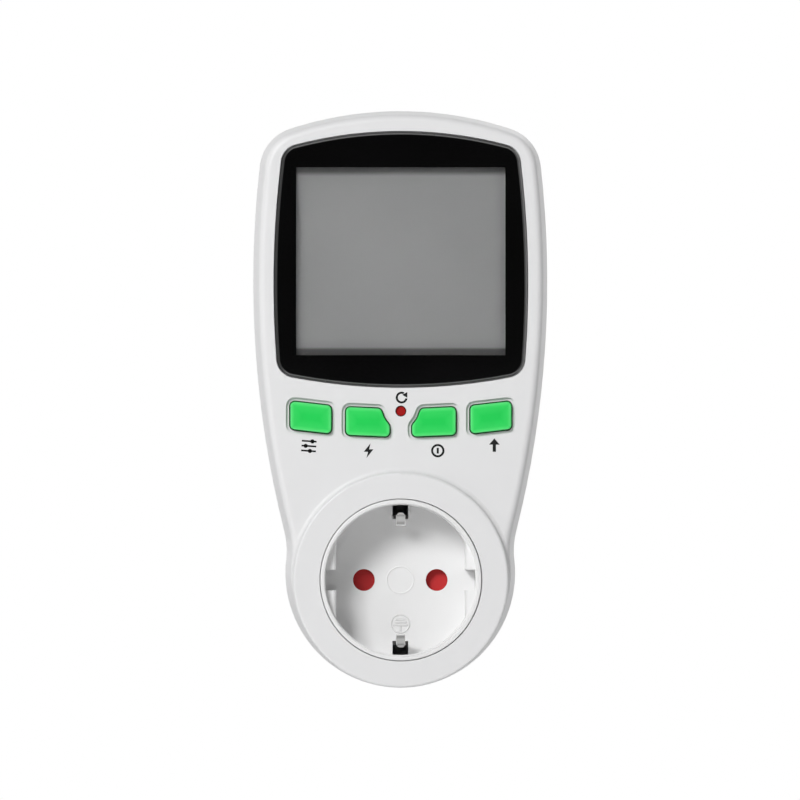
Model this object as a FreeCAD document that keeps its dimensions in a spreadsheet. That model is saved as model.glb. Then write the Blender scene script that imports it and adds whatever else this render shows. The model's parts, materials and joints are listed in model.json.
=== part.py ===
# Plug-in energy meter: an earthed plug behind, an earthed socket in front, a display with four keys.
# Frame: the origin is the middle of the plug's end face, +Y runs into the wall, +Z is up and
# +X is to the right of someone who reads the display. A level is a distance in front of that
# end face, so a level of 30 is the plane y = -30. All sizes are millimetres and degrees.
import FreeCAD
import Part
import Sketcher

import math
import os
import re

SIZES = {
    # Plug
    "pin_spacing": 19.0,
    "pin_radius": 2.4,
    "pin_seat_radius": 2.7,
    "pin_length": 19.0,
    "pin_collar_radius": 3.4,
    "pin_collar_thick": 1.5,
    "pin_root": 3.5,
    "plug_reach": 18.0,
    "plug_radius": 19.0,
    "plug_wall": 1.7,
    "plug_end_wall": 3.0,
    "plug_edge_radius": 1.0,
    "guide_face": 16.4,
    "guide_half_height": 10.7,
    "guide_tongue": 2.4,
    "earth_face": 16.25,
    "earth_notch_half": 4.0,
    "earth_notch_length": 14.5,
    "earth_start": 1.5,
    "strip_thick": 0.8,
    "strip_width": 5.0,
    # Case
    "rear_depth": 19.0,
    "front_depth": 17.0,
    "case_wall": 2.2,
    "case_draft": 5.0,
    "top_height": 122.4,
    "top_arch_radius": 92.0,
    "half_width": 38.4,
    "widest_height": 78.0,
    "neck_half_width": 30.25,
    "neck_height": 12.57,
    "corner_radius": 11.5,
    "waist_radius": 20.0,
    "foot_height": 1.9,
    "foot_margin": 2.0,
    "face_edge_radius": 1.8,
    "back_edge_radius": 2.0,
    "seam_chamfer": 0.25,
    "lip_inset": 1.1,
    "lip_play": 0.1,
    "lip_height": 1.5,
    # Boss round the socket
    "boss_radius": 28.0,
    "boss_step": 2.0,
    "boss_foot_radius": 1.2,
    "boss_edge_radius": 0.7,
    "sleeve_wall": 1.6,
    # Socket insert
    "well_radius": 19.5,
    "mouth_radius": 19.75,
    "well_depth": 17.5,
    "insert_wall": 1.45,
    "insert_proud": 0.2,
    "insert_gap": 0.2,
    "insert_lip_radius": 0.35,
    "floor_thick": 2.5,
    "flange_width": 2.8,
    "flange_thick": 2.8,
    "pin_hole_radius": 2.85,
    "rib_face": 16.8,
    "rib_notch": 5.4,
    "rib_drop": 3.0,
    "rib_edge_radius": 1.0,
    "earth_slot_width": 4.1,
    "earth_slot_inner": 15.9,
    "earth_channel_wall": 0.5,
    "earth_channel_height": 16.3,
    "mark_line": 0.25,
    "mark_raise": 0.15,
    "mark_ring_radius": 3.6,
    "earth_mark_drop": 11.4,
    "earth_mark_radius": 2.5,
    # Earth clips
    "clip_width": 2.4,
    "clip_thick": 0.7,
    "clip_bulge": 14.0,
    "clip_tip": 17.6,
    "clip_root_rise": 30.5,
    "clip_bulge_rise": 9.0,
    "clip_tip_rise": 13.0,
    "clip_bend_radius": 1.2,
    # Shutter and the block of contacts behind the socket's floor
    "shutter_thick": 2.1,
    "shutter_play": 0.25,
    "shutter_hub_radius": 3.2,
    "shutter_wing_radius": 3.4,
    "shutter_neck": 5.2,
    "pivot_radius": 1.5,
    "running_gap": 0.05,
    "spring_radius": 2.5,
    "spring_wire": 0.4,
    "spring_pitch": 0.85,
    "spring_turns": 3.0,
    "spring_well_radius": 3.3,
    "spring_well_depth": 3.4,
    "block_half_width": 18.4,
    "block_half_height": 7.0,
    "block_leg_inner": 14.3,
    "contact_radius": 3.1,
    "contact_bore": 2.35,
    "contact_length": 16.0,
    "contact_slit": 1.0,
    "contact_base": 0.8,
    "contact_play": 0.4,
    "tab_width": 3.0,
    "tab_thick": 0.8,
    "tab_foot_width": 1.6,
    # Inside of the plug
    "carrier_thick": 4.0,
    "carrier_half_height": 5.5,
    "carrier_play": 0.4,
    "carrier_screw_radius": 1.3,
    "carrier_head_radius": 2.6,
    "carrier_head_height": 1.8,
    "lead_radius": 1.2,
    "lead_offset": 5.0,
    "lead_bend_radius": 2.0,
    "lead_clear_height": 11.0,
    "lead_end_height": 31.0,
    # Display window
    "window_top_margin": 5.85,
    "window_arch_radius": 108.0,
    "window_side_margin": 5.45,
    "window_bow_drop": 1.0,
    "window_side_radius": 265.0,
    "window_bottom": 50.1,
    "window_sill_radius": 150.0,
    "window_corner_radius": 4.8,
    "window_thick": 2.2,
    "window_proud": 0.6,
    "window_bevel": 0.8,
    "window_gap": 0.18,
    "window_ledge": 1.6,
    "ledge_thick": 1.6,
    "mask_thick": 0.15,
    "mask_margin": 0.5,
    # Display
    "view_side_margin": 5.75,
    "view_low_margin": 8.3,
    "view_high_margin": 9.25,
    "lcd_rim": 0.8,
    "lcd_gap": 0.2,
    "glass_thick": 1.3,
    "glass_step": 2.4,
    "reflector_thick": 0.3,
    "holder_wall": 0.7,
    "holder_play": 0.15,
    "holder_depth": 4.15,
    "zebra_width": 1.6,
    "zebra_short": 2.0,
    "board_thick": 1.6,
    "display_board_margin": 1.5,
    "display_board_top_margin": 3.55,
    "display_board_drop": 7.85,
    # Keys
    "key_row_drop": 9.25,
    "key_row_radius": 205.0,
    "key_height": 7.3,
    "key_corner": 1.2,
    "key_proud": 0.8,
    "key_edge_radius": 0.35,
    "key_gap": 0.3,
    "key_shelf": 0.8,
    "key_shelf_depth": 0.9,
    "outer_key_margin": 9.65,
    "outer_key_width": 10.7,
    "inner_key_near": 2.9,
    "inner_key_width": 11.4,
    "notch_width": 2.3,
    "notch_mid_drop": 2.5,
    "notch_foot_drop": 4.4,
    "mat_thick": 1.6,
    "mat_margin": 1.6,
    "web_width": 0.9,
    "web_seat": 0.3,
    "web_thick": 0.4,
    "web_play": 0.03,
    "pill_radius": 1.8,
    "pill_thick": 0.5,
    # Reset button
    "reset_rise": 3.05,
    "reset_hole_radius": 1.43,
    "reset_radius": 1.2,
    "reset_sunk": 0.8,
    "switch_size": 3.4,
    "switch_tall": 2.6,
    "switch_well_depth": 1.0,
    "switch_seat_gap": 0.4,
    # Screws and the posts that take them
    "screw_radius": 1.5,
    "screw_head_radius": 2.7,
    "screw_head_height": 2.0,
    "screw_length": 20.0,
    "screw_sink": 8.0,
    "screw_play": 0.05,
    "front_post_radius": 3.2,
    "tower_radius": 4.2,
    "upper_screw_offset": 16.0,
    "upper_screw_drop": 8.9,
    "lower_screw_offset": 24.0,
    "lower_screw_height": 20.0,
    "small_screw_radius": 1.0,
    "small_head_radius": 1.8,
    "small_head_height": 1.2,
    "small_screw_length": 5.0,
    "small_post_radius": 1.9,
    "fix_margin": 3.5,
    "upper_fix_rise": 3.6,
    "lower_fix_drop": 7.4,
    # Power board and what stands on it
    "power_board_margin": 12.4,
    "power_board_low": 26.0,
    "power_board_top_margin": 18.4,
    "power_board_rise": 3.8,
    "power_fix_margin": 4.0,
    "power_fix_rise": 8.5,
    "film_capacitor_width": 18.0,
    "film_capacitor_deep": 8.5,
    "film_capacitor_tall": 14.0,
    "film_capacitor_height": 58.0,
    "smoothing_radius": 5.0,
    "smoothing_tall": 11.0,
    "smoothing_offset": 16.0,
    "smoothing_height": 76.0,
    "varistor_radius": 5.0,
    "varistor_thick": 4.0,
    "varistor_offset": 14.0,
    "varistor_height": 46.0,
    "part_gap": 0.5,
    "dropper_radius": 2.5,
    "dropper_length": 12.0,
    "dropper_height": 72.0,
    "dropper_offset": 10.0,
    "diode_radius": 1.1,
    "diode_length": 5.0,
    "diode_pitch": 5.5,
    "diode_height": 84.0,
    "meter_chip_width": 7.6,
    "meter_chip_length": 10.0,
    "meter_chip_thick": 2.2,
    "meter_chip_height": 92.0,
    "shunt_width": 3.0,
    "shunt_tall": 6.0,
    "shunt_thick": 0.8,
    "shunt_height": 36.5,
    # Back of the display board
    "controller_radius": 7.0,
    "controller_dome": 1.5,
    "controller_height": 80.0,
    "crystal_radius": 1.5,
    "crystal_length": 8.0,
    "crystal_offset": 14.0,
    "crystal_height": 66.0,
    "cell_radius": 5.8,
    "cell_thick": 5.4,
    "cell_height": 97.0,
    "link_pin_size": 0.64,
    "link_pitch": 2.54,
    "link_height": 43.0,
    "link_body": 2.5,
    # Rear shell details
    "stop_radius": 1.6,
    "stop_ring": 22.5,
    "label_half_width": 22.0,
    "label_low": 48.0,
    "label_high": 94.0,
    "label_depth": 0.4,
    "label_corner": 2.0,
    "guard_wall": 1.8,
    "fit_play": 0.1,
}

LEVELS = {
    "pin_offset": "pin_spacing / 2",
    "neck_run": "widest_height - neck_height",
    "neck_step": "half_width - neck_half_width",
    "side_arch_radius": "(neck_run * neck_run + neck_step * neck_step) / (2 * neck_step)",
    "foot_radius": "boss_radius + foot_margin",
    "window_top": "top_height - window_top_margin",
    "window_half_width": "half_width - window_side_margin",
    "view_half_width": "window_half_width - view_side_margin",
    "view_low": "window_bottom + view_low_margin",
    "view_high": "window_top - view_high_margin",
    "key_row_height": "window_bottom - key_row_drop",
    "outer_key_far": "half_width - outer_key_margin",
    "outer_key_near": "outer_key_far - outer_key_width",
    "inner_key_far": "inner_key_near + inner_key_width",
    "reset_height": "key_row_height + reset_rise",
    "display_board_half": "lcd_half_width + display_board_margin",
    "display_board_low": "key_row_height - display_board_drop",
    "display_board_high": "window_top - display_board_top_margin",
    "upper_screw_height": "top_height - upper_screw_drop",
    "fix_offset": "display_board_half - fix_margin",
    "upper_fix_height": "view_high + upper_fix_rise",
    "lower_fix_height": "view_low - lower_fix_drop",
    "power_board_half": "half_width - power_board_margin",
    "power_board_high": "top_height - power_board_top_margin",
    "power_fix_offset": "power_board_half - power_fix_margin",
    "power_fix_low": "power_board_low + power_fix_rise",
    "power_fix_high": "power_board_high - power_fix_margin",
    "plug_bore": "plug_radius - plug_wall",
    "plug_bore_half": "guide_face - plug_wall + fit_play",
    "earth_notch_floor": "earth_face - strip_thick - running_gap",
    "back_inside": "plug_reach + case_wall",
    "parting_level": "plug_reach + rear_depth",
    "face_level": "parting_level + front_depth",
    "face_inside": "face_level - case_wall",
    "boss_level": "face_level + boss_step",
    "insert_radius": "well_radius + insert_wall",
    "sleeve_bore": "insert_radius + insert_gap",
    "sleeve_radius": "sleeve_bore + sleeve_wall",
    "insert_front": "boss_level + insert_proud",
    "floor_level": "insert_front - well_depth",
    "floor_back": "floor_level - floor_thick",
    "flange_front": "floor_back + flange_thick",
    "flange_radius": "insert_radius + flange_width",
    "rib_front": "insert_front - rib_drop",
    "rib_half_height": "sqrt(well_radius * well_radius - rib_face * rib_face)",
    "shutter_front": "floor_back - shutter_play",
    "shutter_back": "shutter_front - shutter_thick",
    "block_front": "shutter_back - shutter_play",
    "block_back": "back_inside + fit_play",
    "contact_front": "block_front - contact_play",
    "contact_back": "contact_front - contact_length",
    "tab_back": "back_inside + fit_play + contact_play",
    "tab_front": "tab_back + tab_thick",
    "arm_inner": "earth_slot_inner + 2 * fit_play",
    "arm_outer": "arm_inner + strip_thick",
    "bridge_back": "plug_reach + 2 * fit_play",
    "bridge_front": "bridge_back + strip_thick",
    "guard_inner": "earth_notch_floor - guard_wall",
    "guard_top": "earth_notch_length + strip_thick + 2 * fit_play + running_gap",
    "window_front": "face_level + window_proud",
    "window_back": "window_front - window_thick",
    "mask_back": "window_back - mask_thick",
    "ledge_back": "mask_back - ledge_thick",
    "lcd_front": "mask_back - lcd_gap",
    "lcd_step": "lcd_front - glass_thick",
    "lcd_back": "lcd_step - glass_thick",
    "reflector_back": "lcd_back - reflector_thick",
    "board_front": "reflector_back - holder_depth",
    "board_back": "board_front - board_thick",
    "lcd_half_width": "view_half_width + lcd_rim",
    "lcd_low": "view_low - lcd_rim",
    "lcd_high": "view_high + lcd_rim",
    "mat_front": "board_front + mat_thick",
    "key_base": "mat_front",
    "pill_back": "key_base - pill_thick",
    "key_front": "face_level + key_proud",
    "shelf_level": "face_level - key_shelf_depth",
    "switch_front": "board_front + switch_tall",
    "switch_well": "switch_front - switch_well_depth",
    "reset_back": "switch_well + switch_seat_gap",
    "reset_front": "face_level - reset_sunk",
    "power_back": "back_inside + power_board_rise",
    "power_front": "power_back + board_thick",
    "collar_front": "plug_end_wall + pin_collar_thick",
    "carrier_front": "collar_front + carrier_thick",
    "pin_back": "carrier_front + pin_root",
    "lead_start": "pin_back + tab_thick",
    "lead_level": "back_inside + fit_play + lead_radius + strip_thick",
    "screw_floor": "plug_reach + screw_sink",
}

doc = FreeCAD.newDocument("energy_meter")
sheet = doc.addObject("Spreadsheet::Sheet", "Sizes")
parts = []


def fill_sheet():
    """Puts every size, and then every level worked out from them, in a named cell."""
    row = 0
    for name, number in SIZES.items():
        row += 1
        sheet.set(f"A{row}", name)
        sheet.set(f"B{row}", str(number))
        sheet.setAlias(f"B{row}", name)
    for name, formula in LEVELS.items():
        row += 1
        sheet.set(f"A{row}", name)
        sheet.set(f"B{row}", "=" + formula)
        sheet.setAlias(f"B{row}", name)
    doc.recompute()


def size(name):
    """The number in a named cell."""
    return float(getattr(sheet, name))


def bind(item, path, formula):
    """Ties a property to a formula of named cells."""
    def cell(match):
        word = match.group()
        known = word in SIZES or word in LEVELS
        return "Sizes." + word if known else word
    item.setExpression(path, re.sub(r"[a-z_]+", cell, formula))


# Outlines. A rounded outline is a ring of circles, clockwise, each tangent to the next one:
# (x, z, radius), with the radius negative where the outline is hollow. An inset of the outline
# keeps the centres and takes the inset from each radius.


def between(first, second, radius, right=True):
    """The circle of that radius that touches two others, on the right or on the left side."""
    reach_first = abs(first[2] - radius)
    reach_second = abs(second[2] - radius)
    step_x = second[0] - first[0]
    step_z = second[1] - first[1]
    gap = math.hypot(step_x, step_z)
    along = (reach_first**2 - reach_second**2 + gap**2) / (2 * gap)
    across = math.sqrt(reach_first**2 - along**2)
    found = []
    for sign in (1, -1):
        x = first[0] + (step_x * along - sign * step_z * across) / gap
        z = first[1] + (step_z * along + sign * step_x * across) / gap
        found.append((x, z, radius))
    found.sort()
    return found[-1] if right else found[0]


def mirrored(circle):
    """The same circle on the left side."""
    return (-circle[0], circle[1], circle[2])


def ring_arcs(circles, inset):
    """The arcs of a rounded outline, set in by the inset."""
    rings = [(x, z, radius - inset) for x, z, radius in circles]
    arcs = []
    for index, ring in enumerate(rings):
        before = rings[index - 1]
        after = rings[(index + 1) % len(rings)]
        arcs.append(arc_on(ring, touch_point(before, ring), touch_point(ring, after)))
    return arcs


def touch_point(first, second):
    """Where two tangent circles meet."""
    share = first[2] / (first[2] - second[2])
    x = first[0] + (second[0] - first[0]) * share
    z = first[1] + (second[1] - first[1]) * share
    return (x, z)


def arc_on(ring, start, end):
    """The arc of a circle from start to end: clockwise, or the other way where it is hollow."""
    angle = math.atan2(start[1] - ring[1], start[0] - ring[0])
    last = math.atan2(end[1] - ring[1], end[0] - ring[0])
    turn = 2 * math.pi
    if ring[2] > 0:
        last -= turn * math.ceil((last - angle) / turn)
    else:
        last += turn * math.ceil((angle - last) / turn)
    middle = (angle + last) / 2
    radius = abs(ring[2])
    crest = (ring[0] + radius * math.cos(middle), ring[1] + radius * math.sin(middle))
    return Part.Arc(flat(start), flat(crest), flat(end))


def flat(point):
    """A point of a sketch."""
    return FreeCAD.Vector(point[0], point[1], 0)


def case_outline():
    """The case seen from the front: an arched top, bowed sides, a waist and a round foot."""
    top = (0, size("top_height") - size("top_arch_radius"), size("top_arch_radius"))
    bow = size("side_arch_radius")
    side = (size("half_width") - bow, size("widest_height"), bow)
    foot = (0, size("foot_height"), size("foot_radius"))
    corner = between(top, side, size("corner_radius"))
    waist = between(side, foot, -size("waist_radius"))
    right = [corner, side, waist]
    left = [mirrored(circle) for circle in reversed(right)]
    return [top] + right + [foot] + left


def window_outline():
    """The window seen from the front: four bowed edges and round corners."""
    arch = size("window_arch_radius")
    sill = size("window_sill_radius")
    bow = size("window_side_radius")
    top = (0, size("window_top") - arch, arch)
    side = (size("window_half_width") - bow, size("widest_height") - size("window_bow_drop"), bow)
    bottom = (0, size("window_bottom") + sill, sill)
    upper = between(top, side, size("window_corner_radius"))
    lower = between(side, bottom, size("window_corner_radius"))
    right = [upper, side, lower]
    left = [mirrored(circle) for circle in reversed(right)]
    return [top] + right + [bottom] + left


def key_middle(x):
    """Height of the row of keys, which sags towards the middle."""
    return size("key_row_height") + x * x / (2 * size("key_row_radius"))


def outer_key():
    """Corners of the right-hand outer key, clockwise, each with its radius."""
    near = size("outer_key_near")
    far = size("outer_key_far")
    half = size("key_height") / 2
    corner = size("key_corner")
    points = [(near, half), (far, half), (far, -half), (near, -half)]
    return [(x, key_middle(x) + rise, corner) for x, rise in points]


def inner_key():
    """Corners of the right-hand inner key, whose upper near corner gives way to the reset hole."""
    near = size("inner_key_near")
    far = size("inner_key_far")
    half = size("key_height") / 2
    corner = size("key_corner")
    cut = near + size("notch_width")
    top = key_middle(cut) + half
    mid = near + size("notch_width") * 0.6
    return [
        (cut, top, corner),
        (far, key_middle(far) + half, corner),
        (far, key_middle(far) - half, corner),
        (near, key_middle(near) - half, corner),
        (near, top - size("notch_foot_drop"), corner),
        (mid, top - size("notch_mid_drop"), -3 * corner),
    ]


def flipped(corners):
    """The same corners on the left side, again clockwise."""
    return [(-x, z, radius) for x, z, radius in reversed(corners)]


KEYS = {
    "key_set": lambda: flipped(outer_key()),
    "key_energy": lambda: flipped(inner_key()),
    "key_cost": inner_key,
    "key_up": outer_key,
}


def corner_lines(corners, inset):
    """Lines and arcs round a clockwise polygon with round corners, set in by the inset."""
    moved = []
    for index, (x, z, radius) in enumerate(corners):
        before = corners[index - 1]
        after = corners[(index + 1) % len(corners)]
        first = (x - before[0], z - before[1])
        second = (after[0] - x, after[1] - z)
        moved.append(slid_corner((x, z), first, second, inset) + (radius - inset,))
    starts = []
    arcs = []
    for index, (x, z, radius) in enumerate(moved):
        before = moved[index - 1]
        after = moved[(index + 1) % len(moved)]
        start, crest, end = round_corner((x, z), before, after, abs(radius))
        arcs.append(Part.Arc(flat(start), flat(crest), flat(end)))
        starts.append((start, end))
    lines = []
    for index, (start, end) in enumerate(starts):
        following = starts[(index + 1) % len(starts)][0]
        lines.append(Part.LineSegment(flat(end), flat(following)))
    return arcs + lines


def slid_corner(corner, first, second, inset):
    """Where two edges of a clockwise polygon meet once both are moved in by the inset."""
    first_length = math.hypot(*first)
    second_length = math.hypot(*second)
    normal_one = (first[1] / first_length, -first[0] / first_length)
    normal_two = (second[1] / second_length, -second[0] / second_length)
    across = 1 + normal_one[0] * normal_two[0] + normal_one[1] * normal_two[1]
    x = corner[0] + inset * (normal_one[0] + normal_two[0]) / across
    z = corner[1] + inset * (normal_one[1] + normal_two[1]) / across
    return (x, z)


def round_corner(corner, before, after, radius):
    """Start, crest and end of the arc that rounds a corner."""
    back = (before[0] - corner[0], before[1] - corner[1])
    ahead = (after[0] - corner[0], after[1] - corner[1])
    back_length = math.hypot(*back)
    ahead_length = math.hypot(*ahead)
    back = (back[0] / back_length, back[1] / back_length)
    ahead = (ahead[0] / ahead_length, ahead[1] / ahead_length)
    half = math.acos(back[0] * ahead[0] + back[1] * ahead[1]) / 2
    reach = radius / math.tan(half)
    middle = (back[0] + ahead[0], back[1] + ahead[1])
    length = math.hypot(*middle)
    depth = radius / math.sin(half) - radius
    start = (corner[0] + back[0] * reach, corner[1] + back[1] * reach)
    end = (corner[0] + ahead[0] * reach, corner[1] + ahead[1] * reach)
    crest = (corner[0] + middle[0] * depth / length, corner[1] + middle[1] * depth / length)
    return start, crest, end


# Bodies, sketches and features


def new_body(label):
    """An empty body that becomes one sub-part."""
    body = doc.addObject("PartDesign::Body", label)
    body.Label = label
    parts.append(body)
    return body


def sketch(body, level, outline=()):
    """A sketch that faces the front, at a level, with an outline if one is given."""
    plane = next(item for item in body.Origin.OriginFeatures if item.Role == "XZ_Plane")
    profile = body.newObject("Sketcher::SketchObject", "profile")
    profile.AttachmentSupport = [(plane, "")]
    profile.MapMode = "FlatFace"
    bind(profile, "AttachmentOffset.Base.z", level)
    for wire in outline:
        profile.addGeometry(wire, False)
    return profile


def hold(profile, kind, geometry, point, formula):
    """Holds a point of a sketch at a distance from the origin."""
    index = profile.addConstraint(Sketcher.Constraint(kind, -1, 1, geometry, point, 1.0))
    bind(profile, f"Constraints[{index}]", formula)


def circle(profile, x, z, radius):
    """A circle in a sketch, placed and sized by formulas."""
    index = profile.addGeometry(Part.Circle(flat((1, 1)), FreeCAD.Vector(0, 0, 1), 1), False)
    hold(profile, "DistanceX", index, 3, x)
    hold(profile, "DistanceY", index, 3, z)
    rule = profile.addConstraint(Sketcher.Constraint("Radius", index, 1.0))
    bind(profile, f"Constraints[{rule}]", radius)


def rectangle(profile, left, right, low, high):
    """A rectangle in a sketch, between two formulas each way."""
    corners = [flat((-1, -1)), flat((1, -1)), flat((1, 1)), flat((-1, 1))]
    first = profile.GeometryCount
    for index in range(4):
        edge = Part.LineSegment(corners[index], corners[(index + 1) % 4])
        profile.addGeometry(edge, False)
    for index in range(4):
        meet = (first + index, 2, first + (index + 1) % 4, 1)
        profile.addConstraint(Sketcher.Constraint("Coincident", *meet))
        way = "Horizontal" if index % 2 == 0 else "Vertical"
        profile.addConstraint(Sketcher.Constraint(way, first + index))
    hold(profile, "DistanceX", first, 1, left)
    hold(profile, "DistanceX", first, 2, right)
    hold(profile, "DistanceY", first, 1, low)
    hold(profile, "DistanceY", first + 2, 1, high)


def pad(body, profile, length):
    """Material from a sketch towards the front."""
    feature = body.newObject("PartDesign::Pad", "pad")
    feature.Profile = profile
    bind(feature, "Length", length)
    doc.recompute()
    return feature


def pocket(body, profile, length, to_front=False):
    """A cut from a sketch, towards the back unless it is turned to the front."""
    before = body.Shape.Volume
    feature = body.newObject("PartDesign::Pocket", "pocket")
    feature.Profile = profile
    feature.Reversed = to_front
    bind(feature, "Length", length)
    doc.recompute()
    if not body.Shape.Volume < before:
        raise ValueError(f"a cut in {body.Label} removes nothing")
    return feature


def loft(body, kind, first, second):
    """A straight-sided loft between two sketches."""
    feature = body.newObject(kind, "loft")
    feature.Profile = first
    feature.Sections = [second]
    feature.Ruled = True
    doc.recompute()
    return feature


def edge_names(feature, wanted):
    """Names of the edges of a feature that pass a test."""
    named = enumerate(feature.Shape.Edges, 1)
    return [f"Edge{index}" for index, edge in named if wanted(edge)]


def at_level(name):
    """A test for edges that lie wholly at a level."""
    y = -size(name)

    def wanted(edge):
        box = edge.BoundBox
        return abs(box.YMin - y) < 1e-4 and abs(box.YMax - y) < 1e-4
    return wanted


def dress(body, kind, feature, edges, path, formula):
    """A fillet or a chamfer on named edges."""
    dressed = body.newObject(kind, "edge")
    dressed.Base = (feature, edges)
    bind(dressed, path, formula)
    doc.recompute()
    return dressed


def fillet(body, feature, wanted, radius):
    """Rounds the edges that pass a test."""
    return dress(body, "PartDesign::Fillet", feature, edge_names(feature, wanted), "Radius", radius)


def chamfer(body, feature, wanted, width):
    """Bevels the edges that pass a test."""
    return dress(body, "PartDesign::Chamfer", feature, edge_names(feature, wanted), "Size", width)


# Primitives


def block(name, x, levels, z):
    """A box between two formulas each way; levels run from the back one to the front one."""
    item = doc.addObject("Part::Box", name)
    bind(item, "Length", f"({x[1]}) - ({x[0]})")
    bind(item, "Width", f"({levels[1]}) - ({levels[0]})")
    bind(item, "Height", f"({z[1]}) - ({z[0]})")
    bind(item, "Placement.Base.x", x[0])
    bind(item, "Placement.Base.y", f"-({levels[1]})")
    bind(item, "Placement.Base.z", z[0])
    return item


def rod(name, x, z, radius, levels):
    """A cylinder that runs from a back level to a front level."""
    item = doc.addObject("Part::Cylinder", name)
    turn = FreeCAD.Rotation(FreeCAD.Vector(1, 0, 0), 90)
    item.Placement = FreeCAD.Placement(FreeCAD.Vector(0, 0, 0), turn)
    bind(item, "Radius", radius)
    bind(item, "Height", f"({levels[1]}) - ({levels[0]})")
    bind(item, "Placement.Base.x", x)
    bind(item, "Placement.Base.y", f"-({levels[0]})")
    bind(item, "Placement.Base.z", z)
    return item


def bar(name, x, level, z, radius):
    """A cylinder that lies along X between two formulas, at a level and a height."""
    item = doc.addObject("Part::Cylinder", name)
    turn = FreeCAD.Rotation(FreeCAD.Vector(0, 1, 0), 90)
    item.Placement = FreeCAD.Placement(FreeCAD.Vector(0, 0, 0), turn)
    bind(item, "Radius", radius)
    bind(item, "Height", f"({x[1]}) - ({x[0]})")
    bind(item, "Placement.Base.x", x[0])
    bind(item, "Placement.Base.y", f"-({level})")
    bind(item, "Placement.Base.z", z)
    return item


def joined(name, items):
    """Several primitives as one solid."""
    item = doc.addObject("Part::MultiFuse", name)
    item.Shapes = items
    item.Refine = True
    return item


def cut(name, base, tools):
    """A solid less one or several others."""
    item = doc.addObject("Part::Cut", name)
    item.Base = base
    item.Tool = tools[0] if len(tools) == 1 else joined(name + "_tools", tools)
    return item


def grouped(name, items):
    """Several separate solids under one name."""
    item = doc.addObject("Part::Compound", name)
    item.Links = items
    return item


def sub_part(item, label):
    """Registers a finished object as a sub-part under its own label."""
    item.Label = label
    parts.append(item)
    return item


def case_screw_points():
    """Centres of the four screws that hold the two shells together."""
    upper = [(sign + "upper_screw_offset", "upper_screw_height") for sign in ("", "-")]
    lower = [(sign + "lower_screw_offset", "lower_screw_height") for sign in ("", "-")]
    return upper + lower


def display_fix_points():
    """Centres of the four screws of the display board."""
    upper = [(sign + "fix_offset", "upper_fix_height") for sign in ("", "-")]
    lower = [(sign + "fix_offset", "lower_fix_height") for sign in ("", "-")]
    return upper + lower


def power_fix_points():
    """Centres of the four screws of the power board."""
    heights = ("power_fix_low", "power_fix_high")
    return [(sign + "power_fix_offset", z) for sign in ("", "-") for z in heights]


def circles_at(profile, points, radius):
    """The same circle at several centres."""
    for x, z in points:
        circle(profile, x, z, radius)


# Shells


def drafted_shell(body, low, high, parting, wall, kind):
    """A drafted block between two levels, widest at the parting line, set in by a wall."""
    outline = case_outline()
    slope = math.tan(math.radians(size("case_draft")))
    ends = []
    for level in (low, high):
        inset = wall + abs(size(level) - size(parting)) * slope
        ends.append(sketch(body, level, [ring_arcs(outline, inset)]))
    return loft(body, kind, ends[0], ends[1])


def build_front_case():
    """The front shell: bowed outline, boss, window seat, key holes, posts."""
    body = new_body("front_case")
    shell = drafted_shell(
        body, "parting_level", "face_level", "parting_level", 0, "PartDesign::AdditiveLoft")
    shell = chamfer(body, shell, at_level("parting_level"), "seam_chamfer")
    fillet(body, shell, at_level("face_level"), "face_edge_radius")
    add_boss(body)
    cavity_end = "face_inside"
    drafted_shell(body, "parting_level", cavity_end, "parting_level", size("case_wall"),
                  "PartDesign::SubtractiveLoft")
    rabbet = sketch(body, "parting_level", [ring_arcs(case_outline(), size("lip_inset"))])
    pocket(body, rabbet, "lip_height + 2 * lip_play", to_front=True)
    sleeve = sketch(body, "flange_front")
    circle(sleeve, "0", "0", "sleeve_radius")
    pad(body, sleeve, "face_level - flange_front - running_gap")
    rim = sketch(body, "ledge_back", [ring_arcs(window_outline(), -size("window_ledge"))])
    pad(body, rim, "face_inside - ledge_back + window_ledge / 2")
    posts = sketch(body, "parting_level + fit_play")
    circles_at(posts, case_screw_points(), "front_post_radius")
    pad(body, posts, "face_inside - parting_level + running_gap")
    small_posts = sketch(body, "board_front")
    circles_at(small_posts, display_fix_points(), "small_post_radius")
    pad(body, small_posts, "face_inside - board_front + running_gap")
    cut_front_openings(body)
    return body


def add_boss(body):
    """The round boss in front of the face, with its foot and its edge rounded."""
    disc = sketch(body, "parting_level + 4 * seam_chamfer")
    circle(disc, "0", "0", "boss_radius")
    boss = pad(body, disc, "boss_level - parting_level - 4 * seam_chamfer")
    face = at_level("face_level")

    def on_boss(edge):
        points = edge.discretize(5)
        reaches = [math.hypot(point.x, point.z) for point in points]
        return face(edge) and all(abs(reach - size("boss_radius")) < 1e-3 for reach in reaches)
    boss = fillet(body, boss, on_boss, "boss_foot_radius")
    fillet(body, boss, at_level("boss_level"), "boss_edge_radius")


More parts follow.
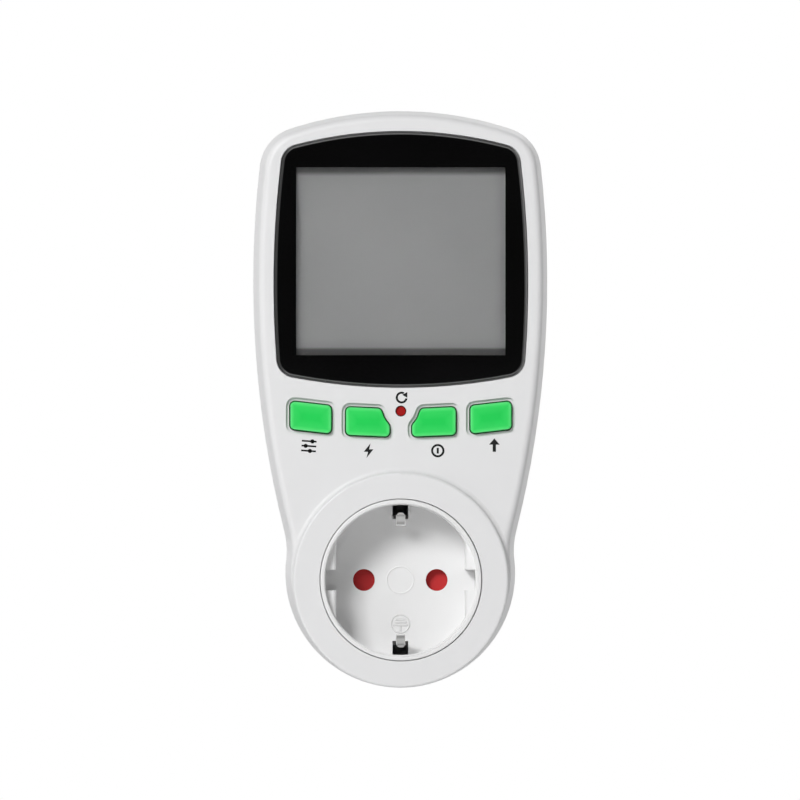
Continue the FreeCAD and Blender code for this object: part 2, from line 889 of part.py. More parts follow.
def cut_front_openings(body):
    """The window seat, the key shelves and holes, the reset hole, the bore and the pilot holes."""
    seat = sketch(body, "face_level", [ring_arcs(window_outline(), -size("window_gap"))])
    pocket(body, seat, "face_level - mask_back")
    opening = sketch(body, "mask_back", [ring_arcs(window_outline(), size("window_ledge"))])
    pocket(body, opening, "ledge_thick")
    gap = size("key_gap")
    shelf = size("key_shelf") + gap
    shelves = sketch(body, "face_level", [corner_lines(key(), -shelf) for key in KEYS.values()])
    pocket(body, shelves, "key_shelf_depth")
    holes = sketch(body, "face_level", [corner_lines(key(), -gap) for key in KEYS.values()])
    circle(holes, "0", "reset_height", "reset_hole_radius")
    pocket(body, holes, "case_wall + running_gap")
    bore = sketch(body, "flange_front")
    circle(bore, "0", "0", "sleeve_bore")
    pocket(body, bore, "boss_level - flange_front + running_gap", to_front=True)
    hollow = sketch(body, "face_inside")
    circle(hollow, "0", "0", "boss_radius - case_wall")
    circle(hollow, "0", "0", "sleeve_radius")
    pocket(body, hollow, "boss_step", to_front=True)
    pilots = sketch(body, "parting_level + fit_play")
    circles_at(pilots, case_screw_points(), "screw_radius + screw_play")
    pocket(body, pilots, "screw_floor + screw_length - parting_level + 4 * fit_play", to_front=True)
    small_pilots = sketch(body, "board_front")
    circles_at(small_pilots, display_fix_points(), "small_screw_radius + screw_play")
    pocket(body, small_pilots, "small_screw_length - board_thick + 4 * fit_play", to_front=True)


def build_rear_case():
    """The rear shell with the body of the plug moulded on it."""
    body = new_body("rear_case")
    shell = drafted_shell(
        body, "plug_reach", "parting_level", "parting_level", 0, "PartDesign::AdditiveLoft")
    shell = chamfer(body, shell, at_level("parting_level"), "seam_chamfer")
    fillet(body, shell, at_level("plug_reach"), "back_edge_radius")
    stem = sketch(body, "0")
    circle(stem, "0", "0", "plug_radius")
    plug = pad(body, stem, "plug_reach + case_wall / 2")
    fillet(body, plug, at_plug_end, "plug_edge_radius")
    drafted_shell(body, "back_inside", "parting_level", "parting_level", size("case_wall"),
                  "PartDesign::SubtractiveLoft")
    hollow_plug(body)
    shape_plug(body)
    lip_root = "parting_level - lip_height"
    inner = ring_arcs(case_outline(), size("case_wall"))
    outer = ring_arcs(case_outline(), size("lip_inset") + size("lip_play"))
    pad(body, sketch(body, lip_root, [outer, inner]), "2 * lip_height")
    add_rear_posts(body)
    label = sketch(body, "plug_reach")
    rectangle(label, "-label_half_width", "label_half_width", "label_low", "label_high")
    pocket(body, label, "label_depth", to_front=True)
    return body


def at_plug_end(edge):
    """The round edge of the end face of the plug."""
    box = edge.BoundBox
    return abs(box.YMin) < 1e-4 and abs(box.YMax) < 1e-4


def hollow_plug(body):
    """The space inside the plug, with solid guards behind the two earth strips."""
    bore = size("plug_bore")
    half = size("plug_bore_half")
    rise = math.sqrt(bore**2 - half**2)
    barrel = [
        Part.Arc(flat((-half, rise)), flat((0, bore)), flat((half, rise))),
        Part.LineSegment(flat((half, rise)), flat((half, -rise))),
        Part.Arc(flat((half, -rise)), flat((0, -bore)), flat((-half, -rise))),
        Part.LineSegment(flat((-half, -rise)), flat((-half, rise))),
    ]
    pocket(body, sketch(body, "back_inside", [barrel]), "back_inside - plug_end_wall")
    guards = sketch(body, "plug_end_wall - running_gap")
    width = "earth_notch_half + guard_wall"
    rectangle(guards, f"-({width})", width, "guard_inner", "plug_bore")
    rectangle(guards, f"-({width})", width, "-plug_bore", "-guard_inner")
    pad(body, guards, "guard_top - plug_end_wall")
    centre = sketch(body, "plug_end_wall - running_gap")
    circle(centre, "0", "0", "carrier_screw_radius + guard_wall")
    pad(body, centre, "pin_collar_thick + running_gap")


def shape_plug(body):
    """The flats beside the guide tongues, the earth notches and the holes of the end face."""
    flats = sketch(body, "0")
    past = "plug_radius + plug_wall"
    for sides in (("guide_face", past), (f"-({past})", "-guide_face")):
        rectangle(flats, *sides, "guide_tongue", "guide_half_height")
        rectangle(flats, *sides, "-guide_half_height", "-guide_tongue")
    pocket(body, flats, "plug_reach", to_front=True)
    notches = sketch(body, "0")
    half = ("-earth_notch_half", "earth_notch_half")
    rectangle(notches, *half, "earth_notch_floor", past)
    rectangle(notches, *half, f"-({past})", "-earth_notch_floor")
    pocket(body, notches, "earth_notch_length", to_front=True)
    slots = sketch(body, "guard_top + running_gap")
    half = ("-strip_width / 2 - fit_play", "strip_width / 2 + fit_play")
    rectangle(slots, *half, "earth_notch_floor", "earth_face + fit_play")
    rectangle(slots, *half, "-earth_face - fit_play", "-earth_notch_floor")
    pocket(body, slots, "guard_top - earth_notch_length + strip_thick")
    holes = sketch(body, "0")
    circle(holes, "pin_offset", "0", "pin_seat_radius + running_gap")
    circle(holes, "-pin_offset", "0", "pin_seat_radius + running_gap")
    pocket(body, holes, "plug_end_wall + running_gap", to_front=True)
    pilot = sketch(body, "collar_front")
    circle(pilot, "0", "0", "carrier_screw_radius + screw_play")
    pocket(body, pilot, "collar_front - plug_end_wall / 3")


def add_rear_posts(body):
    """Towers for the case screws, posts for the power board and stops behind the insert."""
    towers = sketch(body, "back_inside - running_gap")
    circles_at(towers, case_screw_points(), "tower_radius")
    pad(body, towers, "parting_level - back_inside + running_gap")
    sinks = sketch(body, "plug_reach")
    circles_at(sinks, case_screw_points(), "screw_head_radius + fit_play")
    pocket(body, sinks, "screw_sink", to_front=True)
    ways = sketch(body, "parting_level")
    circles_at(ways, case_screw_points(), "screw_radius + screw_play")
    pocket(body, ways, "parting_level - screw_floor + running_gap")
    board_posts = sketch(body, "back_inside - running_gap")
    circles_at(board_posts, power_fix_points(), "small_post_radius")
    pad(body, board_posts, "power_board_rise + running_gap")
    stops = sketch(body, "back_inside - running_gap")
    for x in ("stop_ring / sqrt(2)", "-stop_ring / sqrt(2)"):
        for z in ("stop_ring / sqrt(2)", "-stop_ring / sqrt(2)"):
            circle(stops, x, z, "stop_radius")
    pad(body, stops, "floor_back - back_inside + running_gap")
    board_pilots = sketch(body, "power_back")
    circles_at(board_pilots, power_fix_points(), "small_screw_radius + screw_play")
    pocket(body, board_pilots, "small_screw_length - board_thick + 4 * fit_play")


def build_case_screws():
    """Four screws, driven from behind."""
    screws = []
    for index, (x, z) in enumerate(case_screw_points()):
        head_levels = ("screw_floor - screw_head_height", "screw_floor")
        head = rod("screw_head", x, z, "screw_head_radius", head_levels)
        shank = rod("screw_shank", x, z, "screw_radius", ("screw_floor", "screw_floor + screw_length"))
        recess_levels = ("screw_floor - screw_head_height", "screw_floor - screw_head_height / 2")
        slot_x = (f"{x} - screw_radius", f"{x} + screw_radius")
        slot_z = (f"{z} - fit_play * 4", f"{z} + fit_play * 4")
        slot = block("screw_slot", slot_x, recess_levels, slot_z)
        cross_x = (f"{x} - fit_play * 4", f"{x} + fit_play * 4")
        cross_z = (f"{z} - screw_radius", f"{z} + screw_radius")
        cross = block("screw_cross", cross_x, recess_levels, cross_z)
        body = joined("screw_blank", [head, shank])
        screws.append(cut(f"case_screw_{index}", body, [slot, cross]))
    sub_part(grouped("case_screw_set", screws), "case_screws")


# Socket


def build_socket_insert():
    """The white cup of the socket: well, guide ribs, pin holes, earth slots, raised marks."""
    body = new_body("socket_insert")
    barrel = sketch(body, "floor_back")
    circle(barrel, "0", "0", "insert_radius")
    pad(body, barrel, "insert_front - floor_back")
    flange = sketch(body, "floor_back")
    circle(flange, "0", "0", "flange_radius")
    pad(body, flange, "flange_thick")
    well = sketch(body, "insert_front")
    circle(well, "0", "0", "well_radius")
    pocket(body, well, "well_depth")
    mouth = sketch(body, "insert_front")
    circle(mouth, "0", "0", "mouth_radius")
    cup = pocket(body, mouth, "rib_drop")
    fillet(body, cup, at_level("insert_front"), "insert_lip_radius")
    ribs = pad(body, sketch(body, "floor_level", rib_outlines()), "rib_front - floor_level")
    top = at_level("rib_front")

    def inner_rib_edge(edge):
        box = edge.BoundBox
        inner = min(abs(box.XMin), abs(box.XMax))
        straight = box.XMax - box.XMin < 1e-4
        return top(edge) and straight and abs(inner - size("rib_face")) < 1e-3
    fillet(body, ribs, inner_rib_edge, "rib_edge_radius")
    slots = sketch(body, "floor_back")
    half = ("-earth_slot_width / 2", "earth_slot_width / 2")
    outer = "insert_radius - earth_channel_wall"
    rectangle(slots, *half, "earth_slot_inner", outer)
    rectangle(slots, *half, f"-({outer})", "-earth_slot_inner")
    pocket(body, slots, "earth_channel_height", to_front=True)
    holes = sketch(body, "floor_level")
    circle(holes, "pin_offset", "0", "pin_hole_radius")
    circle(holes, "-pin_offset", "0", "pin_hole_radius")
    pocket(body, holes, "floor_thick")
    raise_marks(body)


def rib_outlines():
    """Four circle segments beside the notches, each let into the wall of the well."""
    face = size("rib_face")
    half_notch = size("rib_notch") / 2
    reach = size("well_radius") + size("insert_wall") / 2
    low = (math.sqrt(reach**2 - half_notch**2), half_notch)
    high = (face, math.sqrt(reach**2 - face**2))
    middle_angle = (math.atan2(low[1], low[0]) + math.atan2(high[1], high[0])) / 2
    crest = (reach * math.cos(middle_angle), reach * math.sin(middle_angle))
    outlines = []
    for side in (1, -1):
        for rise in (1, -1):
            root = flat((side * face, rise * half_notch))
            foot = flat((side * low[0], rise * low[1]))
            bend = flat((side * crest[0], rise * crest[1]))
            head = flat((side * high[0], rise * high[1]))
            lines = [Part.LineSegment(root, foot), Part.LineSegment(head, root)]
            outlines.append(lines + [Part.Arc(foot, bend, head)])
    return outlines


def raise_marks(body):
    """A bare raised ring in the middle and the plain sign for an earth contact below it."""
    ring = sketch(body, "floor_level")
    circle(ring, "0", "0", "mark_ring_radius")
    circle(ring, "0", "0", "mark_ring_radius - mark_line")
    pad(body, ring, "mark_raise")
    sign = sketch(body, "floor_level")
    circle(sign, "0", "-earth_mark_drop", "earth_mark_radius")
    circle(sign, "0", "-earth_mark_drop", "earth_mark_radius - mark_line")
    for rise, half in (("0.4", "0.45"), ("0.1", "0.6")):
        low = f"-earth_mark_drop + {rise} * earth_mark_radius"
        reach = f"{half} * earth_mark_radius"
        rectangle(sign, f"-{reach}", reach, low, f"{low} + mark_line")
    pad(body, sign, "mark_raise")
    tee = sketch(body, "floor_level")
    top = "-earth_mark_drop - 0.2 * earth_mark_radius"
    reach = "0.7 * earth_mark_radius"
    rectangle(tee, f"-{reach}", reach, top, f"{top} + mark_line")
    pad(body, tee, "mark_raise")
    stem = sketch(body, "floor_level")
    foot = "-earth_mark_drop - 0.75 * earth_mark_radius"
    rectangle(stem, "-mark_line / 2", "mark_line / 2", foot, f"{top} + mark_line / 2")
    pad(body, stem, "mark_raise")


def build_earth_clip(label, side):
    """One sprung clip: up through the floor, in to the bulge, out to the rounded tip."""
    body = new_body(label)
    plane = next(item for item in body.Origin.OriginFeatures if item.Role == "YZ_Plane")
    profile = body.newObject("Sketcher::SketchObject", "profile")
    profile.AttachmentSupport = [(plane, "")]
    profile.MapMode = "FlatFace"
    profile.addGeometry(clip_section(side), False)
    strip = body.newObject("PartDesign::Pad", "strip")
    strip.Profile = profile
    strip.Midplane = True
    bind(strip, "Length", "clip_width")
    doc.recompute()
    tip = size("clip_tip")
    half = size("clip_width") / 2
    inner = tip - half
    outer = tip + half
    cutter = [
        Part.LineSegment(flat((-half, side * inner)), flat((-2 * half, side * inner))),
        Part.LineSegment(flat((-2 * half, side * inner)), flat((-2 * half, side * outer))),
        Part.LineSegment(flat((-2 * half, side * outer)), flat((2 * half, side * outer))),
        Part.LineSegment(flat((2 * half, side * outer)), flat((2 * half, side * inner))),
        Part.LineSegment(flat((2 * half, side * inner)), flat((half, side * inner))),
        Part.Arc(flat((half, side * inner)), flat((0, side * tip)), flat((-half, side * inner))),
    ]
    round_off = sketch(body, "floor_level + clip_tip_rise + clip_thick", [cutter])
    pocket(body, round_off, "clip_tip_rise - clip_bulge_rise")


def clip_section(side):
    """Side view of a clip as a closed outline of constant thickness with rounded bends."""
    thick = size("clip_thick")
    root = size("arm_inner") + size("strip_thick") / 2
    middle = [
        (-size("clip_root_rise"), root),
        (-(size("floor_level") + 0.35 * size("clip_bulge_rise")), root),
        (-(size("floor_level") + size("clip_bulge_rise")), size("clip_bulge") + thick / 2),
        (-(size("floor_level") + size("clip_tip_rise")), size("clip_tip") - thick / 2),
    ]
    inner = offset_path(middle, thick / 2)
    outer = offset_path(middle, -thick / 2)

    def place(point):
        return flat((point[0], side * point[1]))
    edges = rounded_path(inner, size("clip_bend_radius"), place)
    edges += rounded_path(outer, size("clip_bend_radius"), place)
    for end in (0, -1):
        edges.append(Part.LineSegment(place(inner[end]), place(outer[end])))
    return edges


def offset_path(points, distance):
    """An open path moved sideways by a distance."""
    moved = []
    for index, point in enumerate(points):
        before = points[max(index - 1, 0)]
        after = points[min(index + 1, len(points) - 1)]
        first = (point[0] - before[0], point[1] - before[1])
        second = (after[0] - point[0], after[1] - point[1])
        if index == 0:
            first = second
        if index == len(points) - 1:
            second = first
        moved.append(slid_corner(point, first, second, distance))
    return moved


def rounded_path(points, radius, place):
    """Lines and arcs along an open path with rounded corners, put in space by a function."""
    edges = []
    reached = points[0]
    for index in range(1, len(points) - 1):
        start, crest, end = round_corner(points[index], points[index - 1], points[index + 1], radius)
        edges.append(Part.LineSegment(place(reached), place(start)))
        edges.append(Part.Arc(place(start), place(crest), place(end)))
        reached = end
    edges.append(Part.LineSegment(place(reached), place(points[-1])))
    return edges


def build_shutter():
    """The red shutter: a hub on the pivot and a wing over each pin hole."""
    levels = ("shutter_back", "shutter_front")
    solids = [rod("shutter_hub", "0", "0", "shutter_hub_radius", levels)]
    neck = ("-shutter_neck / 2", "shutter_neck / 2")
    solids.append(block("shutter_arm", ("-pin_offset", "pin_offset"), levels, neck))
    for x in ("pin_offset", "-pin_offset"):
        solids.append(rod("shutter_wing", x, "0", "shutter_wing_radius", levels))
    hole = rod("shutter_bore", "0", "0", "pivot_radius + running_gap", levels)
    sub_part(cut("shutter_blank", joined("shutter_solid", solids), [hole]), "shutter")


def build_shutter_spring():
    """The coil round the root of the pivot that turns the shutter back."""
    radius = size("spring_radius")
    pitch = size("spring_pitch")
    wire = size("spring_wire") / 2
    steps = 16
    points = []
    for index in range(int(size("spring_turns") * steps) + 1):
        angle = 2 * math.pi * index / steps
        rise = pitch * index / steps
        points.append(FreeCAD.Vector(radius * math.cos(angle), radius * math.sin(angle), rise))
    curve = Part.BSplineCurve()
    curve.interpolate(points)
    start = curve.tangent(curve.FirstParameter)[0]
    ring = Part.Wire(Part.makeCircle(wire, points[0], start))
    coil = doc.addObject("Part::Feature", "coil")
    coil.Shape = Part.Wire(curve.toShape()).makePipeShell([ring], True, False)
    turn = FreeCAD.Rotation(FreeCAD.Vector(1, 0, 0), 90)
    back = size("block_front") - size("spring_well_depth") + size("fit_play") + wire
    coil.Placement = FreeCAD.Placement(FreeCAD.Vector(0, -back, 0), turn)
    sub_part(coil, "shutter_spring")


def build_contact_block():
    """The moulded block behind the floor: two chambers, the pivot, a well for the spring."""
    body = new_body("contact_block")
    frame = sketch(body, "block_back")
    rectangle(frame, "-block_half_width", "block_half_width", "-block_half_height",
              "block_half_height")
    pad(body, frame, "block_front - block_back")
    legs = sketch(body, "block_front - running_gap")
    heights = ("-block_half_height", "block_half_height")
    rectangle(legs, "block_leg_inner", "block_half_width", *heights)
    rectangle(legs, "-block_half_width", "-block_leg_inner", *heights)
    pad(body, legs, "floor_back - block_front + running_gap")
    chambers = sketch(body, "block_front")
    circle(chambers, "pin_offset", "0", "contact_radius + fit_play")
    circle(chambers, "-pin_offset", "0", "contact_radius + fit_play")
    pocket(body, chambers, "block_front - block_back + running_gap")
    slots = sketch(body, "block_back")
    for side in ("", "-"):
        left = f"{side}pin_offset - tab_width / 2 - fit_play"
        right = f"{side}pin_offset + tab_width / 2 + fit_play"
        rectangle(slots, left, right, "0", "block_half_height + running_gap")
    pocket(body, slots, "tab_front - block_back + fit_play", to_front=True)
    well = sketch(body, "block_front")
    circle(well, "0", "0", "spring_well_radius")
    pocket(body, well, "spring_well_depth")
    pivot = sketch(body, "block_front - spring_well_depth - running_gap")
    circle(pivot, "0", "0", "pivot_radius")
    pad(body, pivot, "shutter_front - block_front + spring_well_depth + running_gap")


def build_contact(label, side):
    """A sprung sleeve that grips a pin, with a tab that reaches the power board."""
    x = f"{side}pin_offset"
    levels = ("contact_back", "contact_front")
    sleeve = rod("sleeve", x, "0", "contact_radius", levels)
    tab_x = (f"{x} - tab_width / 2", f"{x} + tab_width / 2")
    tab = block("tab", tab_x, ("tab_back", "tab_front"), ("0", "power_board_low + 2 * strip_thick"))
    foot_x = (f"{x} - tab_foot_width / 2", f"{x} + tab_foot_width / 2")
    foot_z = ("power_board_low + strip_thick", "power_board_low + 2 * strip_thick")
    foot = block("foot", foot_x, ("tab_back", "power_front + strip_thick"), foot_z)
    bore_levels = ("contact_back + contact_base", "contact_front")
    bore = rod("bore", x, "0", "contact_bore", bore_levels)
    slit_x = (f"{x} - contact_slit / 2", f"{x} + contact_slit / 2")
    slit_levels = ("tab_front + contact_slit", "contact_front")
    slit = block("slit", slit_x, slit_levels, ("-contact_radius - fit_play", "contact_radius + fit_play"))
    blank = joined(label + "_blank", [sleeve, tab, foot])
    sub_part(cut(label + "_cut", blank, [bore, slit]), label)


def build_earth_bracket():
    """The strip that ties the two socket clips to the two earth strips of the plug."""
    half = ("-strip_width / 2", "strip_width / 2")
    bridge = block("bridge", half, ("bridge_back", "bridge_front"), ("-arm_outer", "arm_outer"))
    solids = [bridge]
    narrow = ("-clip_width / 2", "clip_width / 2")
    front = ("bridge_back", "clip_root_rise - fit_play")
    rear = ("earth_start", "bridge_front")
    solids.append(block("upper_arm", narrow, front, ("arm_inner", "arm_outer")))
    solids.append(block("lower_arm", narrow, front, ("-arm_outer", "-arm_inner")))
    strip = "earth_face - strip_thick"
    solids.append(block("upper_strip", half, rear, (strip, "earth_face")))
    solids.append(block("lower_strip", half, rear, ("-earth_face", f"-({strip})")))
    sub_part(joined("earth_strip", solids), "earth_bracket")


# Plug


def build_pin(label, side):
    """A plug pin with a round tip, a thicker seat in the end wall, a collar and a solder tab."""
    x = f"{side}pin_offset"
    shank = rod("shank", x, "0", "pin_radius", ("pin_radius - pin_length", "running_gap"))
    seat = rod("seat", x, "0", "pin_seat_radius", ("0", "pin_back + running_gap"))
    tip = doc.addObject("Part::Sphere", "tip")
    bind(tip, "Radius", "pin_radius")
    bind(tip, "Placement.Base.x", x)
    bind(tip, "Placement.Base.y", "pin_length - pin_radius")
    collar = rod("collar", x, "0", "pin_collar_radius", ("plug_end_wall", "collar_front"))
    reach = "lead_offset - lead_radius"
    tab_x = (reach, "pin_offset") if not side else ("-pin_offset", f"-({reach})")
    tab = block("solder_tab", tab_x, ("pin_back", "lead_start"), ("-tab_width / 2", "tab_width / 2"))
    sub_part(joined(label + "_solid", [shank, seat, tip, collar, tab]), label)


def build_pin_carrier():
    """The plate that clamps both pins against the end wall of the plug."""
    half = ("carrier_play - plug_bore_half", "plug_bore_half - carrier_play")
    heights = ("-carrier_half_height", "carrier_half_height")
    levels = ("collar_front", "carrier_front")
    plate = block("carrier_plate", half, levels, heights)
    tools = [rod("carrier_hole", x, "0", "pin_seat_radius + running_gap", levels)
             for x in ("pin_offset", "-pin_offset")]
    tools.append(rod("carrier_way", "0", "0", "carrier_screw_radius + screw_play", levels))
    sub_part(cut("carrier_cut", plate, tools), "pin_carrier")


def build_carrier_screw():
    """The one screw in the middle of the pin carrier."""
    head = rod("carrier_head", "0", "0", "carrier_head_radius",
               ("carrier_front", "carrier_front + carrier_head_height"))
    shank = rod("carrier_shank", "0", "0", "carrier_screw_radius",
                ("plug_end_wall / 2", "carrier_front"))
    sub_part(joined("carrier_screw_solid", [head, shank]), "carrier_screw")


def build_lead(label, side):
    """An insulated lead from a pin, up past the contact block, to the power board."""
    level = size("lead_level")
    start = size("lead_start")
    clear = size("lead_clear_height")
    rise = size("lead_end_height")
    out = start + 2 * size("lead_radius")
    path = [(start, 0), (out, 0), (out, clear), (level, clear), (level, rise)]
    x = side * size("lead_offset")

    def place(point):
        return FreeCAD.Vector(x, -point[0], point[1])
    pieces = rounded_path(path, size("lead_bend_radius"), place)
    route = Part.Wire([piece.toShape() for piece in pieces])
    centre = FreeCAD.Vector(x, -start, 0)
    ring = Part.Wire(Part.makeCircle(size("lead_radius"), centre, FreeCAD.Vector(0, 1, 0)))
    lead = doc.addObject("Part::Feature", label)
    lead.Shape = route.makePipeShell([ring], True, False)
    lead.Placement = FreeCAD.Placement()
    sub_part(lead, label)


# Display


def build_window():
    """The clear window with a bevelled edge, and the black print behind it."""
    lens = new_body("display_window")
    plate = pad(lens, sketch(lens, "window_back", [ring_arcs(window_outline(), 0)]), "window_thick")
    chamfer(lens, plate, at_level("window_front"), "window_bevel")
    mask = new_body("window_mask")
    film = sketch(mask, "mask_back", [ring_arcs(window_outline(), size("mask_margin"))])
    pad(mask, film, "mask_thick")
    view = sketch(mask, "window_back")
    rectangle(view, "-view_half_width", "view_half_width", "view_low", "view_high")
    pocket(mask, view, "mask_thick + running_gap")


def build_display():
    """The two glasses, the reflector behind them, the holder and the two contact strips."""
    wide = ("-lcd_half_width", "lcd_half_width")
    front = block("front_glass", wide, ("lcd_step", "lcd_front"), ("lcd_low", "lcd_high"))
    rear_z = ("lcd_low + glass_step", "lcd_high - glass_step")
    rear = block("rear_glass", wide, ("lcd_back", "lcd_step"), rear_z)
    sub_part(joined("lcd_solid", [front, rear]), "lcd_glass")
    foil = block("reflector_foil", wide, ("reflector_back", "lcd_back"), rear_z)
    sub_part(foil, "lcd_reflector")
    holder = new_body("lcd_holder")
    play = "holder_play"
    grown = f"lcd_half_width + {play} + holder_wall"
    frame = sketch(holder, "board_front")
    rectangle(frame, f"-({grown})", grown, f"lcd_low - {play} - holder_wall",
              f"lcd_high + {play} + holder_wall")
    pad(holder, frame, "lcd_step - board_front + glass_thick / 2")
    seat = sketch(holder, "lcd_front")
    rectangle(seat, f"-lcd_half_width - {play}", f"lcd_half_width + {play}", f"lcd_low - {play}",
              f"lcd_high + {play}")
    pocket(holder, seat, "lcd_front - reflector_back")
    inside = sketch(holder, "lcd_front")
    ledge = "lcd_rim + holder_wall"
    rectangle(inside, f"-lcd_half_width + {ledge}", f"lcd_half_width - {ledge}",
              "lcd_low + glass_step + holder_wall", "lcd_high - glass_step - holder_wall")
    pocket(holder, inside, "lcd_front - board_front + running_gap")
    slots = sketch(holder, "lcd_front")
    short = f"lcd_half_width - zebra_short + {play}"
    for low, high in zebra_heights():
        rectangle(slots, f"-({short})", short, f"{low} - {play}", f"{high} + {play}")
    pocket(holder, slots, "lcd_front - board_front + running_gap")
    strips = []
    short = ("-lcd_half_width + zebra_short", "lcd_half_width - zebra_short")
    for heights in zebra_heights():
        strips.append(block("zebra_strip", short, ("board_front", "lcd_step"), heights))
    sub_part(grouped("zebra_pair", strips), "zebra_strips")


def zebra_heights():
    """Low and high edge of the lower and of the upper contact strip."""
    inset = "holder_play * 2"
    low = f"lcd_low + {inset}"
    high = f"lcd_high - {inset}"
    return [(low, f"{low} + zebra_width"), (f"{high} - zebra_width", high)]


def build_display_board():
    """The board behind the display and the keys, notched round the upper posts."""
    body = new_body("display_board")
    plate = sketch(body, "board_back")
    rectangle(plate, "-display_board_half", "display_board_half", "display_board_low",
              "display_board_high")
    pad(body, plate, "board_thick")
    notches = sketch(body, "board_front")
    upper = [(sign + "upper_screw_offset", "upper_screw_height") for sign in ("", "-")]
    circles_at(notches, upper, "front_post_radius + 3 * fit_play")
    pocket(body, notches, "board_thick + running_gap")
    holes = sketch(body, "board_front")
    circles_at(holes, display_fix_points(), "small_screw_radius + screw_play")
    pocket(body, holes, "board_thick + running_gap")


def small_screws(name, points, seat, to_front):
    """Small screws whose heads bear on a level and whose shanks run to the front or the back."""
    screws = []
    for index, (x, z) in enumerate(points):
        if to_front:
            head_levels = (f"{seat} - small_head_height", seat)
            shank_levels = (seat, f"{seat} + small_screw_length")
        else:
            head_levels = (seat, f"{seat} + small_head_height")
            shank_levels = (f"{seat} - small_screw_length", seat)
        head = rod("small_head", x, z, "small_head_radius", head_levels)
        shank = rod("small_shank", x, z, "small_screw_radius", shank_levels)
        screws.append(joined(f"{name}_{index}", [head, shank]))
    sub_part(grouped(name + "_set", screws), name)


def build_board_parts():
    """The controller under its dome, the crystal and the back-up cells behind the display board."""
    radius = size("controller_radius")
    dome = size("controller_dome")
    full = (radius**2 + dome**2) / (2 * dome)
    ball = Part.makeSphere(full, FreeCAD.Vector(0, full - dome, 0))
    slab = Part.makeBox(2 * radius, dome, 2 * radius, FreeCAD.Vector(-radius, -dome, -radius))
    cap = doc.addObject("Part::Feature", "controller_cap")
    cap.Shape = ball.common(slab)
    cap.Shape = cap.Shape.mirror(FreeCAD.Vector(0, 0, 0), FreeCAD.Vector(0, 1, 0))
    seat = FreeCAD.Vector(0, -size("board_back"), size("controller_height"))
    cap.Placement = FreeCAD.Placement(seat, FreeCAD.Rotation())
    sub_part(cap, "controller_blob")
    left = "crystal_offset - crystal_length / 2"
    right = "crystal_offset + crystal_length / 2"
    crystal = bar("crystal_can", (left, right), "board_back - crystal_radius", "crystal_height",
                  "crystal_radius")
    sub_part(crystal, "quartz_crystal")
    stack = []
    for index in (-1, 0, 1):
        near = f"({index} - 0.5) * cell_thick"
        far = f"({index} + 0.5) * cell_thick - fit_play"
        stack.append(bar("cell", (near, far), "board_back - cell_radius - fit_play", "cell_height",
                         "cell_radius"))
    sub_part(grouped("cell_stack", stack), "backup_cells")


# Keys


def build_keys():
    """The four keys, each with its web and its contact pill, and the mat that carries them."""
    for label, key in KEYS.items():
        corners = key()
        cap = new_body(label)
        solid = pad(cap, sketch(cap, "key_base", [corner_lines(corners, 0)]),
                    "key_front - key_base")
        fillet(cap, solid, at_level("key_front"), "key_edge_radius")
        web = new_body(label.replace("key_", "web_"))
        outer = corner_lines(corners, -size("web_width"))
        inner = corner_lines(corners, -size("web_play"))
        pad(web, sketch(web, "mat_front", [outer, inner]), "web_thick")
        centre = sum(corner[0] for corner in corners[:4]) / 4
        near, far = ("inner_key_near + notch_width", "inner_key_far")
        if label in ("key_set", "key_up"):
            near, far = ("outer_key_near", "outer_key_far")
        sign = "-" if centre < 0 else ""
        x = f"{sign}({near} + {far}) / 2"
        z = f"key_row_height + ({near} + {far}) ^ 2 / (8 * key_row_radius)"
        pill = rod("pill", x, z, "pill_radius", ("pill_back", "key_base"))
        sub_part(pill, label.replace("key_", "pill_"))
    build_mat()


def build_mat():
    """The silicone mat under the keys, open under each key and round the reset switch."""
    body = new_body("keypad_mat")
    sheet_sketch = sketch(body, "board_front")
    edge = "outer_key_far + web_width - web_seat + mat_margin / 2"
    low = "key_row_height - key_height / 2 - mat_margin"
    rise = "outer_key_far ^ 2 / (2 * key_row_radius)"
    high = f"key_row_height + key_height / 2 + {rise} + mat_margin"
    rectangle(sheet_sketch, f"-({edge})", edge, low, high)
    pad(body, sheet_sketch, "mat_thick")
    margin = size("web_width") - size("web_seat")
    windows = sketch(body, "mat_front", [corner_lines(key(), -margin) for key in KEYS.values()])
    pocket(body, windows, "mat_thick + running_gap")
    opening = sketch(body, "mat_front")
    half = "switch_size / 2 + fit_play"
    rectangle(opening, f"-({half})", half, f"reset_height - ({half})", f"reset_height + {half}")
    pocket(body, opening, "mat_thick + running_gap")


def build_reset():
    """The small switch on the board and the red button that presses it."""
    half = "switch_size / 2"
    heights = (f"reset_height - {half}", f"reset_height + {half}")
    case = block("switch_case", (f"-{half}", half), ("board_front", "switch_front"), heights)
    well = rod("switch_bore", "0", "reset_height", "reset_radius + running_gap",
               ("switch_well", "switch_front"))
    sub_part(cut("switch_cut", case, [well]), "reset_switch")
    button = rod("button", "0", "reset_height", "reset_radius", ("reset_back", "reset_front"))
    sub_part(button, "reset_button")


# Power board


def build_power_board():
    """The mains board with its slots for the contact tabs and its screw holes."""
    body = new_body("power_board")
    plate = sketch(body, "power_back")
    rectangle(plate, "-power_board_half", "power_board_half", "power_board_low",
              "power_board_high")
    pad(body, plate, "board_thick")
    cuts = sketch(body, "power_front")
    circles_at(cuts, power_fix_points(), "small_screw_radius + screw_play")
    for side in ("", "-"):
        x = f"{side}pin_offset"
        rectangle(cuts, f"{x} - tab_foot_width / 2 - fit_play",
                  f"{x} + tab_foot_width / 2 + fit_play",
                  "power_board_low + strip_thick - fit_play",
                  "power_board_low + 2 * strip_thick + fit_play")
    pocket(body, cuts, "board_thick + running_gap")


